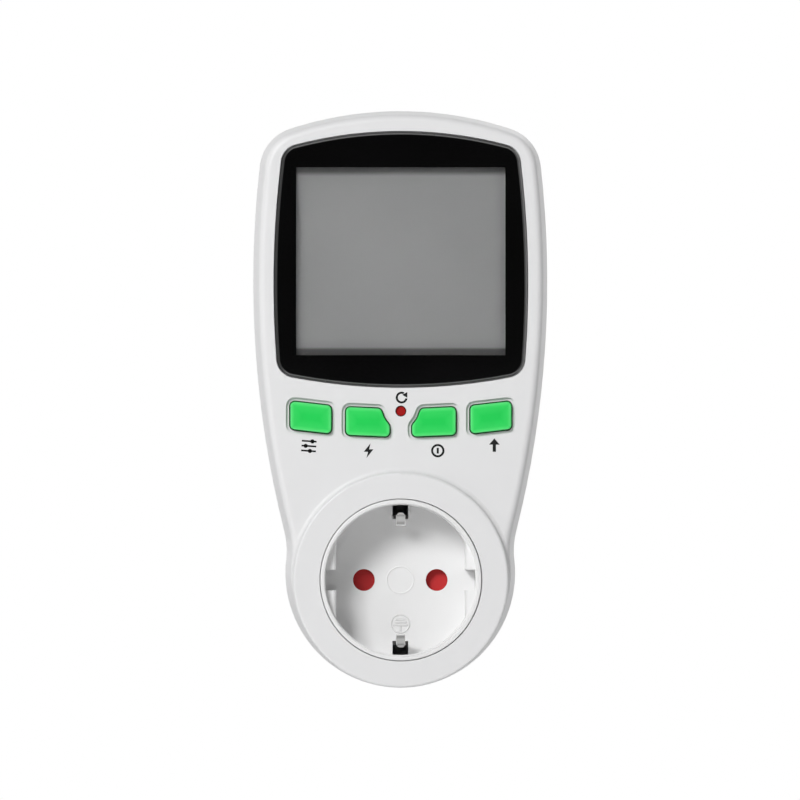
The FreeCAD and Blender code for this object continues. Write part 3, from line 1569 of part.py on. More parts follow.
def build_power_parts():
    """The parts that stand on the power board."""
    half = "film_capacitor_width / 2"
    deep = "film_capacitor_deep / 2"
    film = block("film_case", (f"-{half}", half), ("power_front", "power_front + film_capacitor_tall"),
                 (f"film_capacitor_height - {deep}", f"film_capacitor_height + {deep}"))
    sub_part(film, "film_capacitor")
    can = rod("can", "-smoothing_offset", "smoothing_height", "smoothing_radius",
              ("power_front", "power_front + smoothing_tall"))
    sub_part(can, "smoothing_capacitor")
    disc = bar("disc", ("varistor_offset - varistor_thick / 2", "varistor_offset + varistor_thick / 2"),
               "power_front + varistor_radius", "varistor_height", "varistor_radius")
    sub_part(disc, "varistor")
    dropper = bar("dropper", ("dropper_offset - dropper_length / 2",
                              "dropper_offset + dropper_length / 2"),
                  "power_front + dropper_radius", "dropper_height", "dropper_radius")
    sub_part(dropper, "dropper_resistor")
    diodes = []
    for index in (-1, 0, 1):
        near = f"{index} * diode_pitch - diode_length / 2"
        far = f"{index} * diode_pitch + diode_length / 2"
        diodes.append(bar("diode", (near, far), "power_front + diode_radius", "diode_height",
                          "diode_radius"))
    sub_part(grouped("diode_row", diodes), "diodes")
    chip_x = ("-meter_chip_width / 2", "meter_chip_width / 2")
    chip_z = ("meter_chip_height - meter_chip_length / 2", "meter_chip_height + meter_chip_length / 2")
    chip = block("chip", chip_x, ("power_front", "power_front + meter_chip_thick"), chip_z)
    sub_part(chip, "metering_chip")
    build_shunt()
    build_link()


def build_shunt():
    """The resistive strip that measures the current: a bridge on two legs."""
    z = ("shunt_height - shunt_width / 2", "shunt_height + shunt_width / 2")
    top = "power_front + shunt_tall"
    span = block("shunt_span", ("-pin_offset", "pin_offset"), (f"{top} - shunt_thick", top), z)
    legs = [block("shunt_leg", ("-pin_offset", "-pin_offset + shunt_thick"), ("power_front", top), z),
            block("shunt_leg", ("pin_offset - shunt_thick", "pin_offset"), ("power_front", top), z)]
    sub_part(joined("shunt_strip", [span] + legs), "shunt")


def build_link():
    """The row of pins, with a plastic bar at each end, that joins the two boards."""
    pins = []
    for index in range(6):
        x = f"({index} - 2.5) * link_pitch"
        half = "link_pin_size / 2"
        pins.append(block("link_pin", (f"{x} - {half}", f"{x} + {half}"),
                          ("power_front", "board_back"), (f"link_height - {half}",
                                                          f"link_height + {half}")))
    wide = ("-3 * link_pitch", "3 * link_pitch")
    deep = ("link_height - link_pitch / 2", "link_height + link_pitch / 2")
    pins.append(block("link_bar", wide, ("power_front", "power_front + link_body"), deep))
    pins.append(block("link_bar", wide, ("board_back - link_body", "board_back"), deep))
    sub_part(joined("link_solid", pins), "board_link")


def check_document():
    """Stops if any object failed or any sub-part is empty or broken."""
    doc.recompute()
    for item in doc.Objects:
        if "Invalid" in item.State or "Error" in item.State:
            raise ValueError(f"{item.Label} failed: {item.State}")
    for item in parts:
        shape = item.Shape
        if shape.isNull() or not shape.isValid() or not shape.Solids:
            raise ValueError(f"{item.Label} has no valid solid")
        print(item.Label, len(shape.Solids), "solid", round(shape.Volume, 1), "mm3")


def main():
    fill_sheet()
    build_front_case()
    build_rear_case()
    build_case_screws()
    build_socket_insert()
    build_earth_clip("earth_clip_top", 1)
    build_earth_clip("earth_clip_bottom", -1)
    build_shutter()
    build_shutter_spring()
    build_contact_block()
    build_contact("live_contact", "")
    build_contact("neutral_contact", "-")
    build_earth_bracket()
    build_pin("live_pin", "")
    build_pin("neutral_pin", "-")
    build_pin_carrier()
    build_carrier_screw()
    build_lead("live_lead", 1)
    build_lead("neutral_lead", -1)
    build_window()
    build_display()
    build_display_board()
    small_screws("display_board_screws", display_fix_points(), "board_back", True)
    build_board_parts()
    build_keys()
    build_reset()
    build_power_board()
    small_screws("power_board_screws", power_fix_points(), "power_front", False)
    build_power_parts()
    check_document()
    os.makedirs("parts", exist_ok=True)
    for item in parts:
        item.Shape.exportStep(os.path.join("parts", item.Label + ".step"))


main()
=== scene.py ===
import json
import math

import bmesh
import bpy
from mathutils import Matrix, Vector


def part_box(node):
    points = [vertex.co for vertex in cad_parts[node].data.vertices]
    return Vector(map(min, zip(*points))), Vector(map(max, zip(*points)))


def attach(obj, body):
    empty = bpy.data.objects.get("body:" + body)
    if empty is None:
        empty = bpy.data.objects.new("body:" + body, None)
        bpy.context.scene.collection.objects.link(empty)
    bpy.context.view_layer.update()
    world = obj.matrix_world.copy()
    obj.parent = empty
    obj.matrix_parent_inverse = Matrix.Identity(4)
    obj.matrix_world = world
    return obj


# The looks of the plug-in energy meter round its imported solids. Lengths are metres in the part's
# own frame: the display faces -Y, +Z is up, +X is to the right of someone who reads it.

MM = 0.001

# What the photograph shows of the object: its middle and width in view, and where the camera stood
VIEW_MIDDLE = (-0.234 * MM, 46.75 * MM)
VIEW_WIDTH = 207.8 * MM
CAMERA_DISTANCE = 4.0
CAMERA_SIDE = -35.0 * MM
CAMERA_HEIGHT = 0.0
SENSOR_WIDTH = 36.0

# The room: its light from each side, and the dark patch straight in front that the window reflects
ROOM_LIGHT = 0.70
LIGHT_FROM_BELOW = 1.38
LIGHT_FROM_ABOVE = 0.16
LIGHT_FROM_SIDES = 0.95
LIGHT_FROM_BEHIND = 2.8
DARK_FRONT = 0.05
DARK_FRONT_INNER = 0.985
DARK_FRONT_OUTER = 0.70

# The two lamps: where they are, how wide and how strong
KEY_PLACE = (-0.68, -1.5, 0.78)
KEY_SIZE = 0.55
KEY_POWER = 21.2
BACK_PLACE = (0.9, 2.0, 1.5)
BACK_SIZE = 1.4
BACK_POWER = 9.0

# The floor: its width, its height, and how much it is lifted towards white
FLOOR_SIZE = 24.0
FLOOR_LEVEL = -0.45
FLOOR_LIFT = 0.3

# The middle of the case from front to back, which the lamps face
CASE_MIDDLE = -30.0 * MM

# The flat face of the front shell, and how thick the ink on it is
FACE_LEVEL = -54.0 * MM
INK_THICK = 0.02 * MM
# The line width of the printed signs in millimetres, and how much their shapes are enlarged
STROKE = 0.46
SIGN_SCALE = 1.2

# The front of the window and the depth of its bevel
WINDOW_LEVEL = -54.6 * MM
WINDOW_BEVEL = 0.8 * MM
# The greys of the bevel from its front to its foot, painted reflections: along the top and the bottom, and
# at the sides
BEVEL_LINED = [(0.14, 0.012), (0.26, 0.14), (0.38, 0.14), (0.54, 0.022), (0.72, 0.022), (0.90, 0.14)]
BEVEL_PLAIN = [(0.20, 0.012), (0.40, 0.05), (0.85, 0.16)]
# How light the left and the right side are in painted light, the right lighter, and how far the bevel
# turns before it counts as a side
BEVEL_LEFT_RIGHT = (0.2, 1.5)
BEVEL_TURN = (0.35, 0.6)

# The opening in the black print behind the window
VIEW_HALF_WIDTH = 27.2 * MM
VIEW_LOW = 58.4 * MM
VIEW_HIGH = 107.3 * MM

# The keys: half their height, the width of the strip along their edges that painted light makes lighter,
# their greens from the edge inwards over that strip, lightest at the edge as painted light, and the slope
# of their edges
KEY_HALF_HEIGHT = 3.65 * MM
KEY_PAINTED_LIGHT_STRIP = 3 * MM
KEY_GREENS = [(0.0, (0.13, 0.84, 0.24)), (0.12, (0.085, 0.80, 0.19)), (0.35, (0.030, 0.72, 0.12)),
              (1.0, (0.009, 0.66, 0.092))]
KEY_SLOPES = {"key_set": -0.114, "key_energy": -0.042, "key_cost": 0.042, "key_up": 0.114}

# The raised lines on the floor of the socket: a faint middle ring by height and radius, and the
# earth sign's ring and its bars, which are given by height, half width and half height
MIDDLE_RING = (0.0, 3.48 * MM)
EARTH_RING = (-11.4 * MM, 2.38 * MM)
EARTH_BARS = (
    (-10.27 * MM, 1.12 * MM, 0.12 * MM),
    (-11.02 * MM, 1.50 * MM, 0.12 * MM),
    (-11.77 * MM, 1.75 * MM, 0.12 * MM),
    (-12.52 * MM, 0.12 * MM, 0.75 * MM),
)
# How high these lines are and how far their flanks reach, and the middle ring's share of that height
MARK_HEIGHT = 0.15 * MM
MARK_SOFTNESS = 0.26 * MM
FAINT = 0.4

# An earth clip: how far its bulge and its tip are from the socket's axis, where its edges start, which get
# a painted highlight, how light it is from the bulge to the tip in bands of painted light and shade, and
# how much of its look is bare metal
CLIP_BULGE = 14.0 * MM
CLIP_TIP = 17.6 * MM
CLIP_EDGES = (0.88 * MM, 1.12 * MM)
CLIP_BANDS = [(0.0, 1.0), (0.09, 1.0), (0.17, 0.46), (0.24, 0.46), (0.40, 0.80),
              (0.64, 0.80), (0.76, 0.50), (0.82, 0.50), (0.92, 1.0)]
CLIP_METAL = 0.5

# How much a surface has to face the front or the back to count as flat
FLAT = 0.97

# The depth of the grain in plastics and of the streaks in metals
GRAIN_DEPTH = 0.02 * MM

# The black print as it looks through the polished window, and how much lighter it gets towards its lower
# edge as painted light, between two heights
PRINT_TONE = (0.0010, 0.0010, 0.0011)
PRINT_LIFT = 2.2
PRINT_LOW = (50.0 * MM, 62.0 * MM)


# Node materials


def new_material(name):
    """An empty node material with its shader and its tree."""
    material = bpy.data.materials.new(name)
    material.use_nodes = True
    shader = material.node_tree.nodes["Principled BSDF"]
    return material, material.node_tree, shader


def position(tree):
    """The place of a shaded point in the object's own frame."""
    return tree.nodes.new("ShaderNodeTexCoord").outputs["Object"]


def noise(tree, scale, roughness=0.5, detail=2.0, stretch=(1, 1, 1)):
    """A noise over the object's frame; the scale is in bumps per metre."""
    mapping = tree.nodes.new("ShaderNodeMapping")
    mapping.inputs["Scale"].default_value = stretch
    tree.links.new(position(tree), mapping.inputs["Vector"])
    texture = tree.nodes.new("ShaderNodeTexNoise")
    texture.inputs["Scale"].default_value = scale
    texture.inputs["Detail"].default_value = detail
    texture.inputs["Roughness"].default_value = roughness
    tree.links.new(mapping.outputs["Vector"], texture.inputs["Vector"])
    return texture.outputs["Fac"]


def ramp(tree, value, stops):
    """Colours or greys along a value between 0 and 1."""
    node = tree.nodes.new("ShaderNodeValToRGB")
    node.color_ramp.elements[0].position = stops[0][0]
    node.color_ramp.elements[0].color = colour(stops[0][1])
    node.color_ramp.elements[1].position = stops[-1][0]
    node.color_ramp.elements[1].color = colour(stops[-1][1])
    for place, shade in stops[1:-1]:
        node.color_ramp.elements.new(place).color = colour(shade)
    tree.links.new(value, node.inputs["Fac"])
    return node.outputs["Color"]


def colour(shade):
    """A grey or a red, green and blue triple with full opacity."""
    if isinstance(shade, (int, float)):
        return (shade, shade, shade, 1.0)
    return (*shade, 1.0)


def bump(tree, target, height, strength, distance=GRAIN_DEPTH):
    """Fine relief from a value, on the normal of a shader or of another bump."""
    node = tree.nodes.new("ShaderNodeBump")
    node.inputs["Strength"].default_value = strength
    node.inputs["Distance"].default_value = distance
    tree.links.new(height, node.inputs["Height"])
    tree.links.new(node.outputs["Normal"], target.inputs["Normal"])


def math_node(tree, operation, first, second=None):
    """One arithmetic step on values or sockets."""
    node = tree.nodes.new("ShaderNodeMath")
    node.operation = operation
    for place, value in enumerate((first, second)):
        if isinstance(value, (int, float)):
            node.inputs[place].default_value = value
        elif value is not None:
            tree.links.new(value, node.inputs[place])
    return node.outputs["Value"]


def blended(tree, value, span, ends):
    """A value that goes smoothly from one end to the other over a span."""
    node = tree.nodes.new("ShaderNodeMapRange")
    node.interpolation_type = "SMOOTHSTEP"
    node.inputs["From Min"].default_value = span[0]
    node.inputs["From Max"].default_value = span[1]
    node.inputs["To Min"].default_value = ends[0]
    node.inputs["To Max"].default_value = ends[1]
    tree.links.new(value, node.inputs["Value"])
    return node.outputs["Result"]


def times(tree, first, second):
    """Two colours multiplied."""
    mix = tree.nodes.new("ShaderNodeMix")
    mix.data_type = "RGBA"
    mix.blend_type = "MULTIPLY"
    mix.inputs["Factor"].default_value = 1.0
    tree.links.new(first, mix.inputs["A"])
    tree.links.new(second, mix.inputs["B"])
    return mix.outputs["Result"]


def chosen(tree, share, first, second):
    """The first colour where the share is 0, the second where it is 1, and a mix between."""
    mix = tree.nodes.new("ShaderNodeMix")
    mix.data_type = "RGBA"
    tree.links.new(share, mix.inputs["Factor"])
    tree.links.new(first, mix.inputs["A"])
    tree.links.new(second, mix.inputs["B"])
    return mix.outputs["Result"]


def axes(tree):
    """The object's three coordinates as separate values."""
    split = tree.nodes.new("ShaderNodeSeparateXYZ")
    tree.links.new(position(tree), split.inputs["Vector"])
    return split.outputs


def scaled(shade, factor):
    """A colour made lighter or darker."""
    return tuple(min(part * factor, 1.0) for part in shade)


def moulded(name, shade, rough, grain=9000.0, relief=0.05, mottle=0.012, gloss=0.5):
    """Moulded plastic: a faint mottle in the colour and a fine spark-eroded grain."""
    material, tree, shader = new_material(name)
    cloud = noise(tree, 60.0)
    tone = ramp(tree, cloud, [(0.3, scaled(shade, 1 - mottle)), (0.7, scaled(shade, 1 + mottle))])
    tree.links.new(tone, shader.inputs["Base Color"])
    grit = noise(tree, grain, 0.6)
    sheen = ramp(tree, grit, [(0.3, rough * 0.92), (0.7, min(rough * 1.08, 1.0))])
    tree.links.new(sheen, shader.inputs["Roughness"])
    bump(tree, shader, grit, relief)
    shader.inputs["Specular IOR Level"].default_value = gloss
    return material


def plated(name, shade, rough):
    """Plated or drawn metal with faint streaks."""
    material, tree, shader = new_material(name)
    streaks = noise(tree, 400.0, 0.6, 4.0, (1, 0.08, 1))
    tone = ramp(tree, streaks, [(0.3, scaled(shade, 0.9)), (0.7, scaled(shade, 1.05))])
    tree.links.new(tone, shader.inputs["Base Color"])
    wear_and_painted_light = ramp(tree, streaks, [(0.3, rough * 0.8), (0.7, rough * 1.3)])
    tree.links.new(wear_and_painted_light, shader.inputs["Roughness"])
    shader.inputs["Metallic"].default_value = 1.0
    bump(tree, shader, streaks, 0.05)
    return material


def clip_material():
    """Sprung steel, with a painted highlight along its edges and bands of painted light and shade from its
    bulge to its tip.
    """
    material = plated("clip_steel", (0.95, 0.95, 0.94), 0.14)
    tree = material.node_tree
    shader = tree.nodes["Principled BSDF"]
    shader.inputs["Metallic"].default_value = CLIP_METAL
    place = axes(tree)
    out = math_node(tree, "SUBTRACT", math_node(tree, "ABSOLUTE", place["Z"]), CLIP_BULGE)
    along = math_node(tree, "DIVIDE", out, CLIP_TIP - CLIP_BULGE)
    # Painted highlight along the edges, and bands of painted light and shade from the bulge to the tip
    edges = blended(tree, math_node(tree, "ABSOLUTE", place["X"]), CLIP_EDGES, (0.0, 1.0))
    wear_and_painted_light = math_node(tree, "MAXIMUM", ramp(tree, along, CLIP_BANDS), edges)
    tone = shader.inputs["Base Color"].links[0].from_socket
    tree.links.new(times(tree, tone, wear_and_painted_light), shader.inputs["Base Color"])
    return material


def ring_distance(tree, place, height, radius):
    """How far a point is from a ring on the socket's floor."""
    rise = math_node(tree, "SUBTRACT", place["Z"], height)
    squares = [math_node(tree, "MULTIPLY", value, value) for value in (place["X"], rise)]
    out = math_node(tree, "SQRT", math_node(tree, "ADD", squares[0], squares[1]))
    return math_node(tree, "ABSOLUTE", math_node(tree, "SUBTRACT", out, radius))


def bar_distance(tree, place, height, half_width, half_height):
    """How far a point is from a bar on the socket's floor."""
    rise = math_node(tree, "ABSOLUTE", math_node(tree, "SUBTRACT", place["Z"], height))
    aside = math_node(tree, "ABSOLUTE", place["X"])
    beyond = math_node(tree, "MAXIMUM", math_node(tree, "SUBTRACT", aside, half_width),
                       math_node(tree, "SUBTRACT", rise, half_height))
    return math_node(tree, "MAXIMUM", beyond, 0.0)


def insert_material():
    """The white cup of the socket, with rounded flanks on its raised marks."""
    material = moulded("insert_white", (0.84, 0.84, 0.84), 0.38, 16000.0, 0.05, 0.006)
    tree = material.node_tree
    place = axes(tree)
    nearest = ring_distance(tree, place, *EARTH_RING)
    for sizes in EARTH_BARS:
        nearest = math_node(tree, "MINIMUM", nearest, bar_distance(tree, place, *sizes))
    middle = ring_distance(tree, place, *MIDDLE_RING)
    rise = math_node(tree, "MAXIMUM", blended(tree, nearest, (0.0, MARK_SOFTNESS), (1.0, 0.0)),
                     blended(tree, middle, (0.0, MARK_SOFTNESS), (FAINT, 0.0)))
    bump(tree, tree.nodes["Bump"], rise, 1.0, MARK_HEIGHT)
    return material


def facing(tree, axis):
    """How much a surface faces along an axis, either way, from 0 to 1."""
    split = tree.nodes.new("ShaderNodeSeparateXYZ")
    tree.links.new(tree.nodes.new("ShaderNodeNewGeometry").outputs["Normal"], split.inputs["Vector"])
    return math_node(tree, "ABSOLUTE", split.outputs[axis])


def key_material(node):
    """Green silicone with painted light that makes it lighter towards its rounded edges, and painted shade
    that darkens its flanks.
    """
    material, tree, shader = new_material(node + "_green")
    low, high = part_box(node)
    middle = (low + high) / 2
    place = axes(tree)
    across = math_node(tree, "SUBTRACT", place["X"], middle.x)
    drop = math_node(tree, "MULTIPLY", across, -KEY_SLOPES[node])
    rise = math_node(tree, "ADD", math_node(tree, "SUBTRACT", place["Z"], middle.z), drop)
    side = math_node(tree, "SUBTRACT", (high.x - low.x) / 2, math_node(tree, "ABSOLUTE", across))
    end = math_node(tree, "SUBTRACT", KEY_HALF_HEIGHT, math_node(tree, "ABSOLUTE", rise))
    edge = math_node(tree, "DIVIDE", math_node(tree, "MINIMUM", side, end), KEY_PAINTED_LIGHT_STRIP)
    mottle = ramp(tree, noise(tree, 300.0), [(0.3, 0.96), (0.7, 1.0)])
    # Painted light: the green gets lighter over the strip along the key's edges
    painted_edge_light = ramp(tree, edge, KEY_GREENS)
    # Painted shade: surfaces that face away from the front, the key's flanks, are darker
    painted_flank_shade = ramp(tree, facing(tree, "Y"), [(0.3, 0.40), (0.8, 1.0)])
    tree.links.new(times(tree, times(tree, painted_edge_light, mottle), painted_flank_shade), shader.inputs["Base Color"])
    grit = noise(tree, 12000.0, 0.6)
    tree.links.new(ramp(tree, grit, [(0.3, 0.50), (0.7, 0.60)]), shader.inputs["Roughness"])
    bump(tree, shader, grit, 0.05)
    shader.inputs["Specular IOR Level"].default_value = 0.25
    return material


def mat_material():
    """The same silicone for the mat and the webs inside."""
    return moulded("mat_green", (0.007, 0.5, 0.06), 0.55, 12000.0, 0.05, 0.02)


def over_display(tree, place):
    """1 where the window lies over the display, and 0 over the black print."""
    aside = math_node(tree, "LESS_THAN", math_node(tree, "ABSOLUTE", place["X"]), VIEW_HALF_WIDTH)
    above = math_node(tree, "GREATER_THAN", place["Z"], VIEW_LOW)
    below = math_node(tree, "LESS_THAN", place["Z"], VIEW_HIGH)
    return math_node(tree, "MULTIPLY", aside, math_node(tree, "MULTIPLY", above, below))


def window_material():
    """Polished plastic, clear over the display and black over the print, with a matt bevel.

    The bevel has painted reflections: a light line along the top and the bottom, and greys that get
    lighter outwards at the sides, with painted light that makes the right side lighter than the left.
    """
    material, tree, shader = new_material("window_clear")
    place = axes(tree)
    haze = noise(tree, 40.0)
    depth = math_node(tree, "DIVIDE", math_node(tree, "SUBTRACT", place["Y"], WINDOW_LEVEL), WINDOW_BEVEL)
    aside = blended(tree, facing(tree, "X"), BEVEL_TURN, (0.0, 1.0))
    # Painted light: the bevel is lighter on the right than on the left
    wear_and_painted_light = blended(tree, place["X"], (-VIEW_HALF_WIDTH, VIEW_HALF_WIDTH), BEVEL_LEFT_RIGHT)
    # Painted reflections: the bevel's greys at the sides get lighter towards its foot, and along the top
    # and the bottom they form light lines
    sides = times(tree, ramp(tree, depth, BEVEL_PLAIN), wear_and_painted_light)
    bevel = chosen(tree, aside, ramp(tree, depth, BEVEL_LINED), sides)
    clear = over_display(tree, place)
    smudge = ramp(tree, haze, [(0.3, scaled(PRINT_TONE, 0.8)), (0.7, scaled(PRINT_TONE, 1.5))])
    # Painted light: the black print is lighter towards its lower edge
    print_tone = times(tree, smudge, blended(tree, place["Z"], PRINT_LOW, (PRINT_LIFT, 1.0)))
    glass_tone = ramp(tree, haze, [(0.3, 0.97), (0.7, 0.99)])
    flat = math_node(tree, "GREATER_THAN", facing(tree, "Y"), FLAT)
    tone = chosen(tree, flat, bevel, chosen(tree, clear, print_tone, glass_tone))
    tree.links.new(tone, shader.inputs["Base Color"])
    polish = ramp(tree, haze, [(0.3, 0.02), (0.7, 0.035)])
    matt = ramp(tree, haze, [(0.3, 0.26), (0.7, 0.32)])
    tree.links.new(chosen(tree, flat, matt, polish), shader.inputs["Roughness"])
    tree.links.new(math_node(tree, "MULTIPLY", flat, clear), shader.inputs["Transmission Weight"])
    shader.inputs["IOR"].default_value = 1.46
    return material


def stops_along(low, high, marks):
    """Marks at real places turned into the stops of a ramp from low to high."""
    return [((place - low) / (high - low), shade) for place, shade in marks]


def display_material():
    """The grey of a display that is switched off, with painted shadows of its frame: soft dark bands along
    the top and the bottom and darker lines inside the sides.
    """
    material, tree, shader = new_material("display_glass")
    low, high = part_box("lcd_glass")
    place = axes(tree)
    up = math_node(tree, "DIVIDE", math_node(tree, "SUBTRACT", place["Z"], low.z), high.z - low.z)
    right = math_node(tree, "DIVIDE", math_node(tree, "SUBTRACT", place["X"], low.x), high.x - low.x)
    # Painted shadow: dark bands along the top and the bottom of the display, where its frame's shadow
    # falls
    bands = ramp(tree, up, stops_along(low.z, high.z, [
        (low.z, 0.24), (VIEW_LOW + 1.5 * MM, 0.27), (VIEW_LOW + 2.1 * MM, 0.86),
        (VIEW_LOW + 4.5 * MM, 0.98), (VIEW_HIGH - 5.0 * MM, 1.0), (VIEW_HIGH - 2.3 * MM, 0.98),
        (VIEW_HIGH - 1.2 * MM, 0.40), (VIEW_HIGH, 0.37), (high.z, 0.37)]))
    # Painted shadow: darker lines just inside the left and the right edge
    sides = ramp(tree, right, stops_along(low.x, high.x, [
        (low.x, 1.0), (-VIEW_HALF_WIDTH + 0.3 * MM, 1.0), (-VIEW_HALF_WIDTH + 0.6 * MM, 0.93),
        (-VIEW_HALF_WIDTH + 3.2 * MM, 1.0), (VIEW_HALF_WIDTH - 3.2 * MM, 0.98),
        (VIEW_HALF_WIDTH - 0.6 * MM, 0.88), (VIEW_HALF_WIDTH - 0.3 * MM, 1.0), (high.x, 1.0)]))
    cloud = noise(tree, 25.0)
    tone = ramp(tree, cloud, [(0.3, (0.374, 0.376, 0.374)), (0.7, (0.391, 0.393, 0.391))])
    tree.links.new(times(tree, times(tree, tone, bands), sides), shader.inputs["Base Color"])
    tree.links.new(ramp(tree, cloud, [(0.3, 0.30), (0.7, 0.36)]), shader.inputs["Roughness"])
    return material


def zebra_material():
    """Silicone contact strips in fine stripes."""
    material, tree, shader = new_material("zebra_grey")
    wave = tree.nodes.new("ShaderNodeTexWave")
    wave.inputs["Scale"].default_value = 1500.0
    tree.links.new(position(tree), wave.inputs["Vector"])
    tone = ramp(tree, wave.outputs["Fac"], [(0.4, 0.05), (0.6, 0.6)])
    tree.links.new(tone, shader.inputs["Base Color"])
    return material


def board_material():
    """Green solder mask over copper tracks."""
    material, tree, shader = new_material("board_green")
    cells = tree.nodes.new("ShaderNodeTexVoronoi")
    cells.feature = "DISTANCE_TO_EDGE"
    cells.inputs["Scale"].default_value = 220.0
    tree.links.new(position(tree), cells.inputs["Vector"])
    tone = ramp(tree, cells.outputs["Distance"], [(0.04, (0.01, 0.16, 0.06)), (0.06, (0.006, 0.07, 0.03))])
    tree.links.new(tone, shader.inputs["Base Color"])
    tree.links.new(ramp(tree, cells.outputs["Distance"], [(0.0, 0.3), (1.0, 0.4)]),
                   shader.inputs["Roughness"])
    return material


# The looks of moulded pieces by slot: colour, roughness, then the bumps of grain per metre, the
# strength of the grain, the mottle of the colour and the gloss
PLASTICS = {
    "case_white": ((0.80, 0.80, 0.805), 0.42, 14000.0, 0.08, 0.006, 0.35),
    "print_black": (PRINT_TONE, 0.6, 200.0, 0.0, 0.2, 0.05),
    "sign_ink": ((0.004, 0.004, 0.004), 0.5, 9000.0, 0.02, 0.2, 0.25),
    "shutter_red": ((0.51, 0.024, 0.026), 0.5, 9000.0, 0.05, 0.04, 0.25),
    "reset_red": ((0.36, 0.004, 0.003), 0.4, 9000.0, 0.05, 0.05, 0.25),
    "resin_black": ((0.01, 0.01, 0.01), 0.35, 4000.0, 0.1, 0.2),
    "varistor_blue": ((0.02, 0.09, 0.4), 0.6, 3000.0, 0.2),
    "block_nylon": ((0.62, 0.6, 0.55), 0.5),
    "lead_brown": ((0.13, 0.05, 0.02), 0.5),
    "lead_blue": ((0.02, 0.1, 0.4), 0.5),
    "holder_white": ((0.7, 0.7, 0.7), 0.5),
    "pill_carbon": ((0.01, 0.01, 0.01), 0.7),
    "switch_black": ((0.012, 0.012, 0.012), 0.5),
    "film_blue": ((0.6, 0.38, 0.03), 0.35),
    "can_sleeve": ((0.01, 0.015, 0.06), 0.3),
    "resistor_body": ((0.1, 0.28, 0.24), 0.4),
    "diode_black": ((0.012, 0.012, 0.012), 0.45),
    "link_black": ((0.012, 0.012, 0.012), 0.5),
}

# The looks of metal pieces by slot: colour and roughness
METALS = {
    "zinc_screw": ((0.62, 0.62, 0.60), 0.3),
    "contact_steel": ((0.80, 0.80, 0.79), 0.14),
    "contact_brass": ((0.75, 0.55, 0.22), 0.3),
    "pin_nickel": ((0.78, 0.77, 0.74), 0.2),
    "spring_steel": ((0.5, 0.5, 0.5), 0.3),
    "reflector_foil": ((0.6, 0.6, 0.55), 0.5),
    "can_steel": ((0.65, 0.65, 0.64), 0.3),
    "shunt_metal": ((0.5, 0.4, 0.3), 0.35),
}

# The slots whose material takes more than that
SPECIAL = {
    "insert_white": insert_material,
    "clip_steel": clip_material,
    "window_clear": window_material,
    "display_glass": display_material,
    "zebra_grey": zebra_material,
    "board_green": board_material,
    "key_green": mat_material,
}

# Nodes that take another material than their slot's
OWN_LOOKS = {"earth_clip_top": "clip_steel", "earth_clip_bottom": "clip_steel"}


def make_materials():
    """Each material that can be shared, by its name."""
    made = {name: moulded(name, *look) for name, look in PLASTICS.items()}
    made.update({name: plated(name, *look) for name, look in METALS.items()})
    made.update({name: make() for name, make in SPECIAL.items()})
    return made


def dress_solids(frame, materials):
    """Gives each solid the material of its slot or its own, and each key a green of its own."""
    slots = {item["node"]: item["material_slot"] for item in frame["record"]["subparts"]}
    for node, item in frame["nodes"].items():
        own = OWN_LOOKS.get(node, slots[node])
        look = key_material(node) if node in KEY_SLOPES else materials[own]
        item.data.materials.clear()
        item.data.materials.append(look)


# Printed signs


def arc(radius, start, end, steps=40):
    """Points on a circle between two angles in degrees."""
    angles = [math.radians(start + (end - start) * i / steps) for i in range(steps + 1)]
    return [(radius * math.cos(a), radius * math.sin(a)) for a in angles]


def bar(x, z, half_width, half_height):
    """An upright rectangle round a point."""
    return [(x - half_width, z - half_height), (x + half_width, z - half_height),
            (x + half_width, z + half_height), (x - half_width, z + half_height)]


def moved(loop, x, z):
    """A loop shifted sideways and up."""
    return [(a + x, b + z) for a, b in loop]


def round_arrow():
    """Reset: an open ring that ends in an arrowhead."""
    radius = 1.05
    half = STROKE / 2
    ring = arc(radius + half, 62, 350) + arc(radius - half, 350, 62)
    tip = math.radians(34)
    head = moved(arc(0.72, -60, 180, 2), radius * math.cos(tip), radius * math.sin(tip))
    return [[ring], [head]]


def sliders():
    """Set: three lines with a knob on each."""
    groups = []
    for height, knob in ((1.05, 0.7), (0.0, -0.7), (-1.05, 0.3)):
        groups.append([bar(0.0, height, 1.6, STROKE * 0.4)])
        groups.append([moved(arc(0.45, 0, 360, 24)[:-1], knob, height)])
    return groups


def lightning():
    """Energy: a bolt."""
    return [[[(0.45, 1.6), (-1.05, -0.25), (-0.10, -0.25), (-0.45, -1.6), (1.05, 0.30), (0.12, 0.30)]]]


def coin():
    """Cost: a coin with a stroke in its middle."""
    radius = 1.45
    rim = [arc(radius, 0, 360)[:-1], arc(radius - STROKE, 360, 0)[:-1]]
    return [rim, [bar(0.0, 0.0, STROKE / 2, 0.62)]]


def arrow_up():
    """Up: an arrow."""
    return [[[(0.0, 1.5), (-1.15, 0.15), (-0.35, 0.15), (-0.35, -1.4), (0.35, -1.4), (0.35, 0.15),
              (1.15, 0.15)]]]


# Each sign's shape, its middle on the face in millimetres and its tilt in degrees
SIGNS = {
    "sign_reset": (round_arrow, 0.2, 47.4, 0.0),
    "sign_set": (sliders, -23.9, 34.8, -4.0),
    "sign_energy": (lightning, -8.4, 33.6, 0.0),
    "sign_cost": (coin, 9.6, 33.6, 0.0),
    "sign_up": (arrow_up, 24.3, 35.0, 0.0),
}


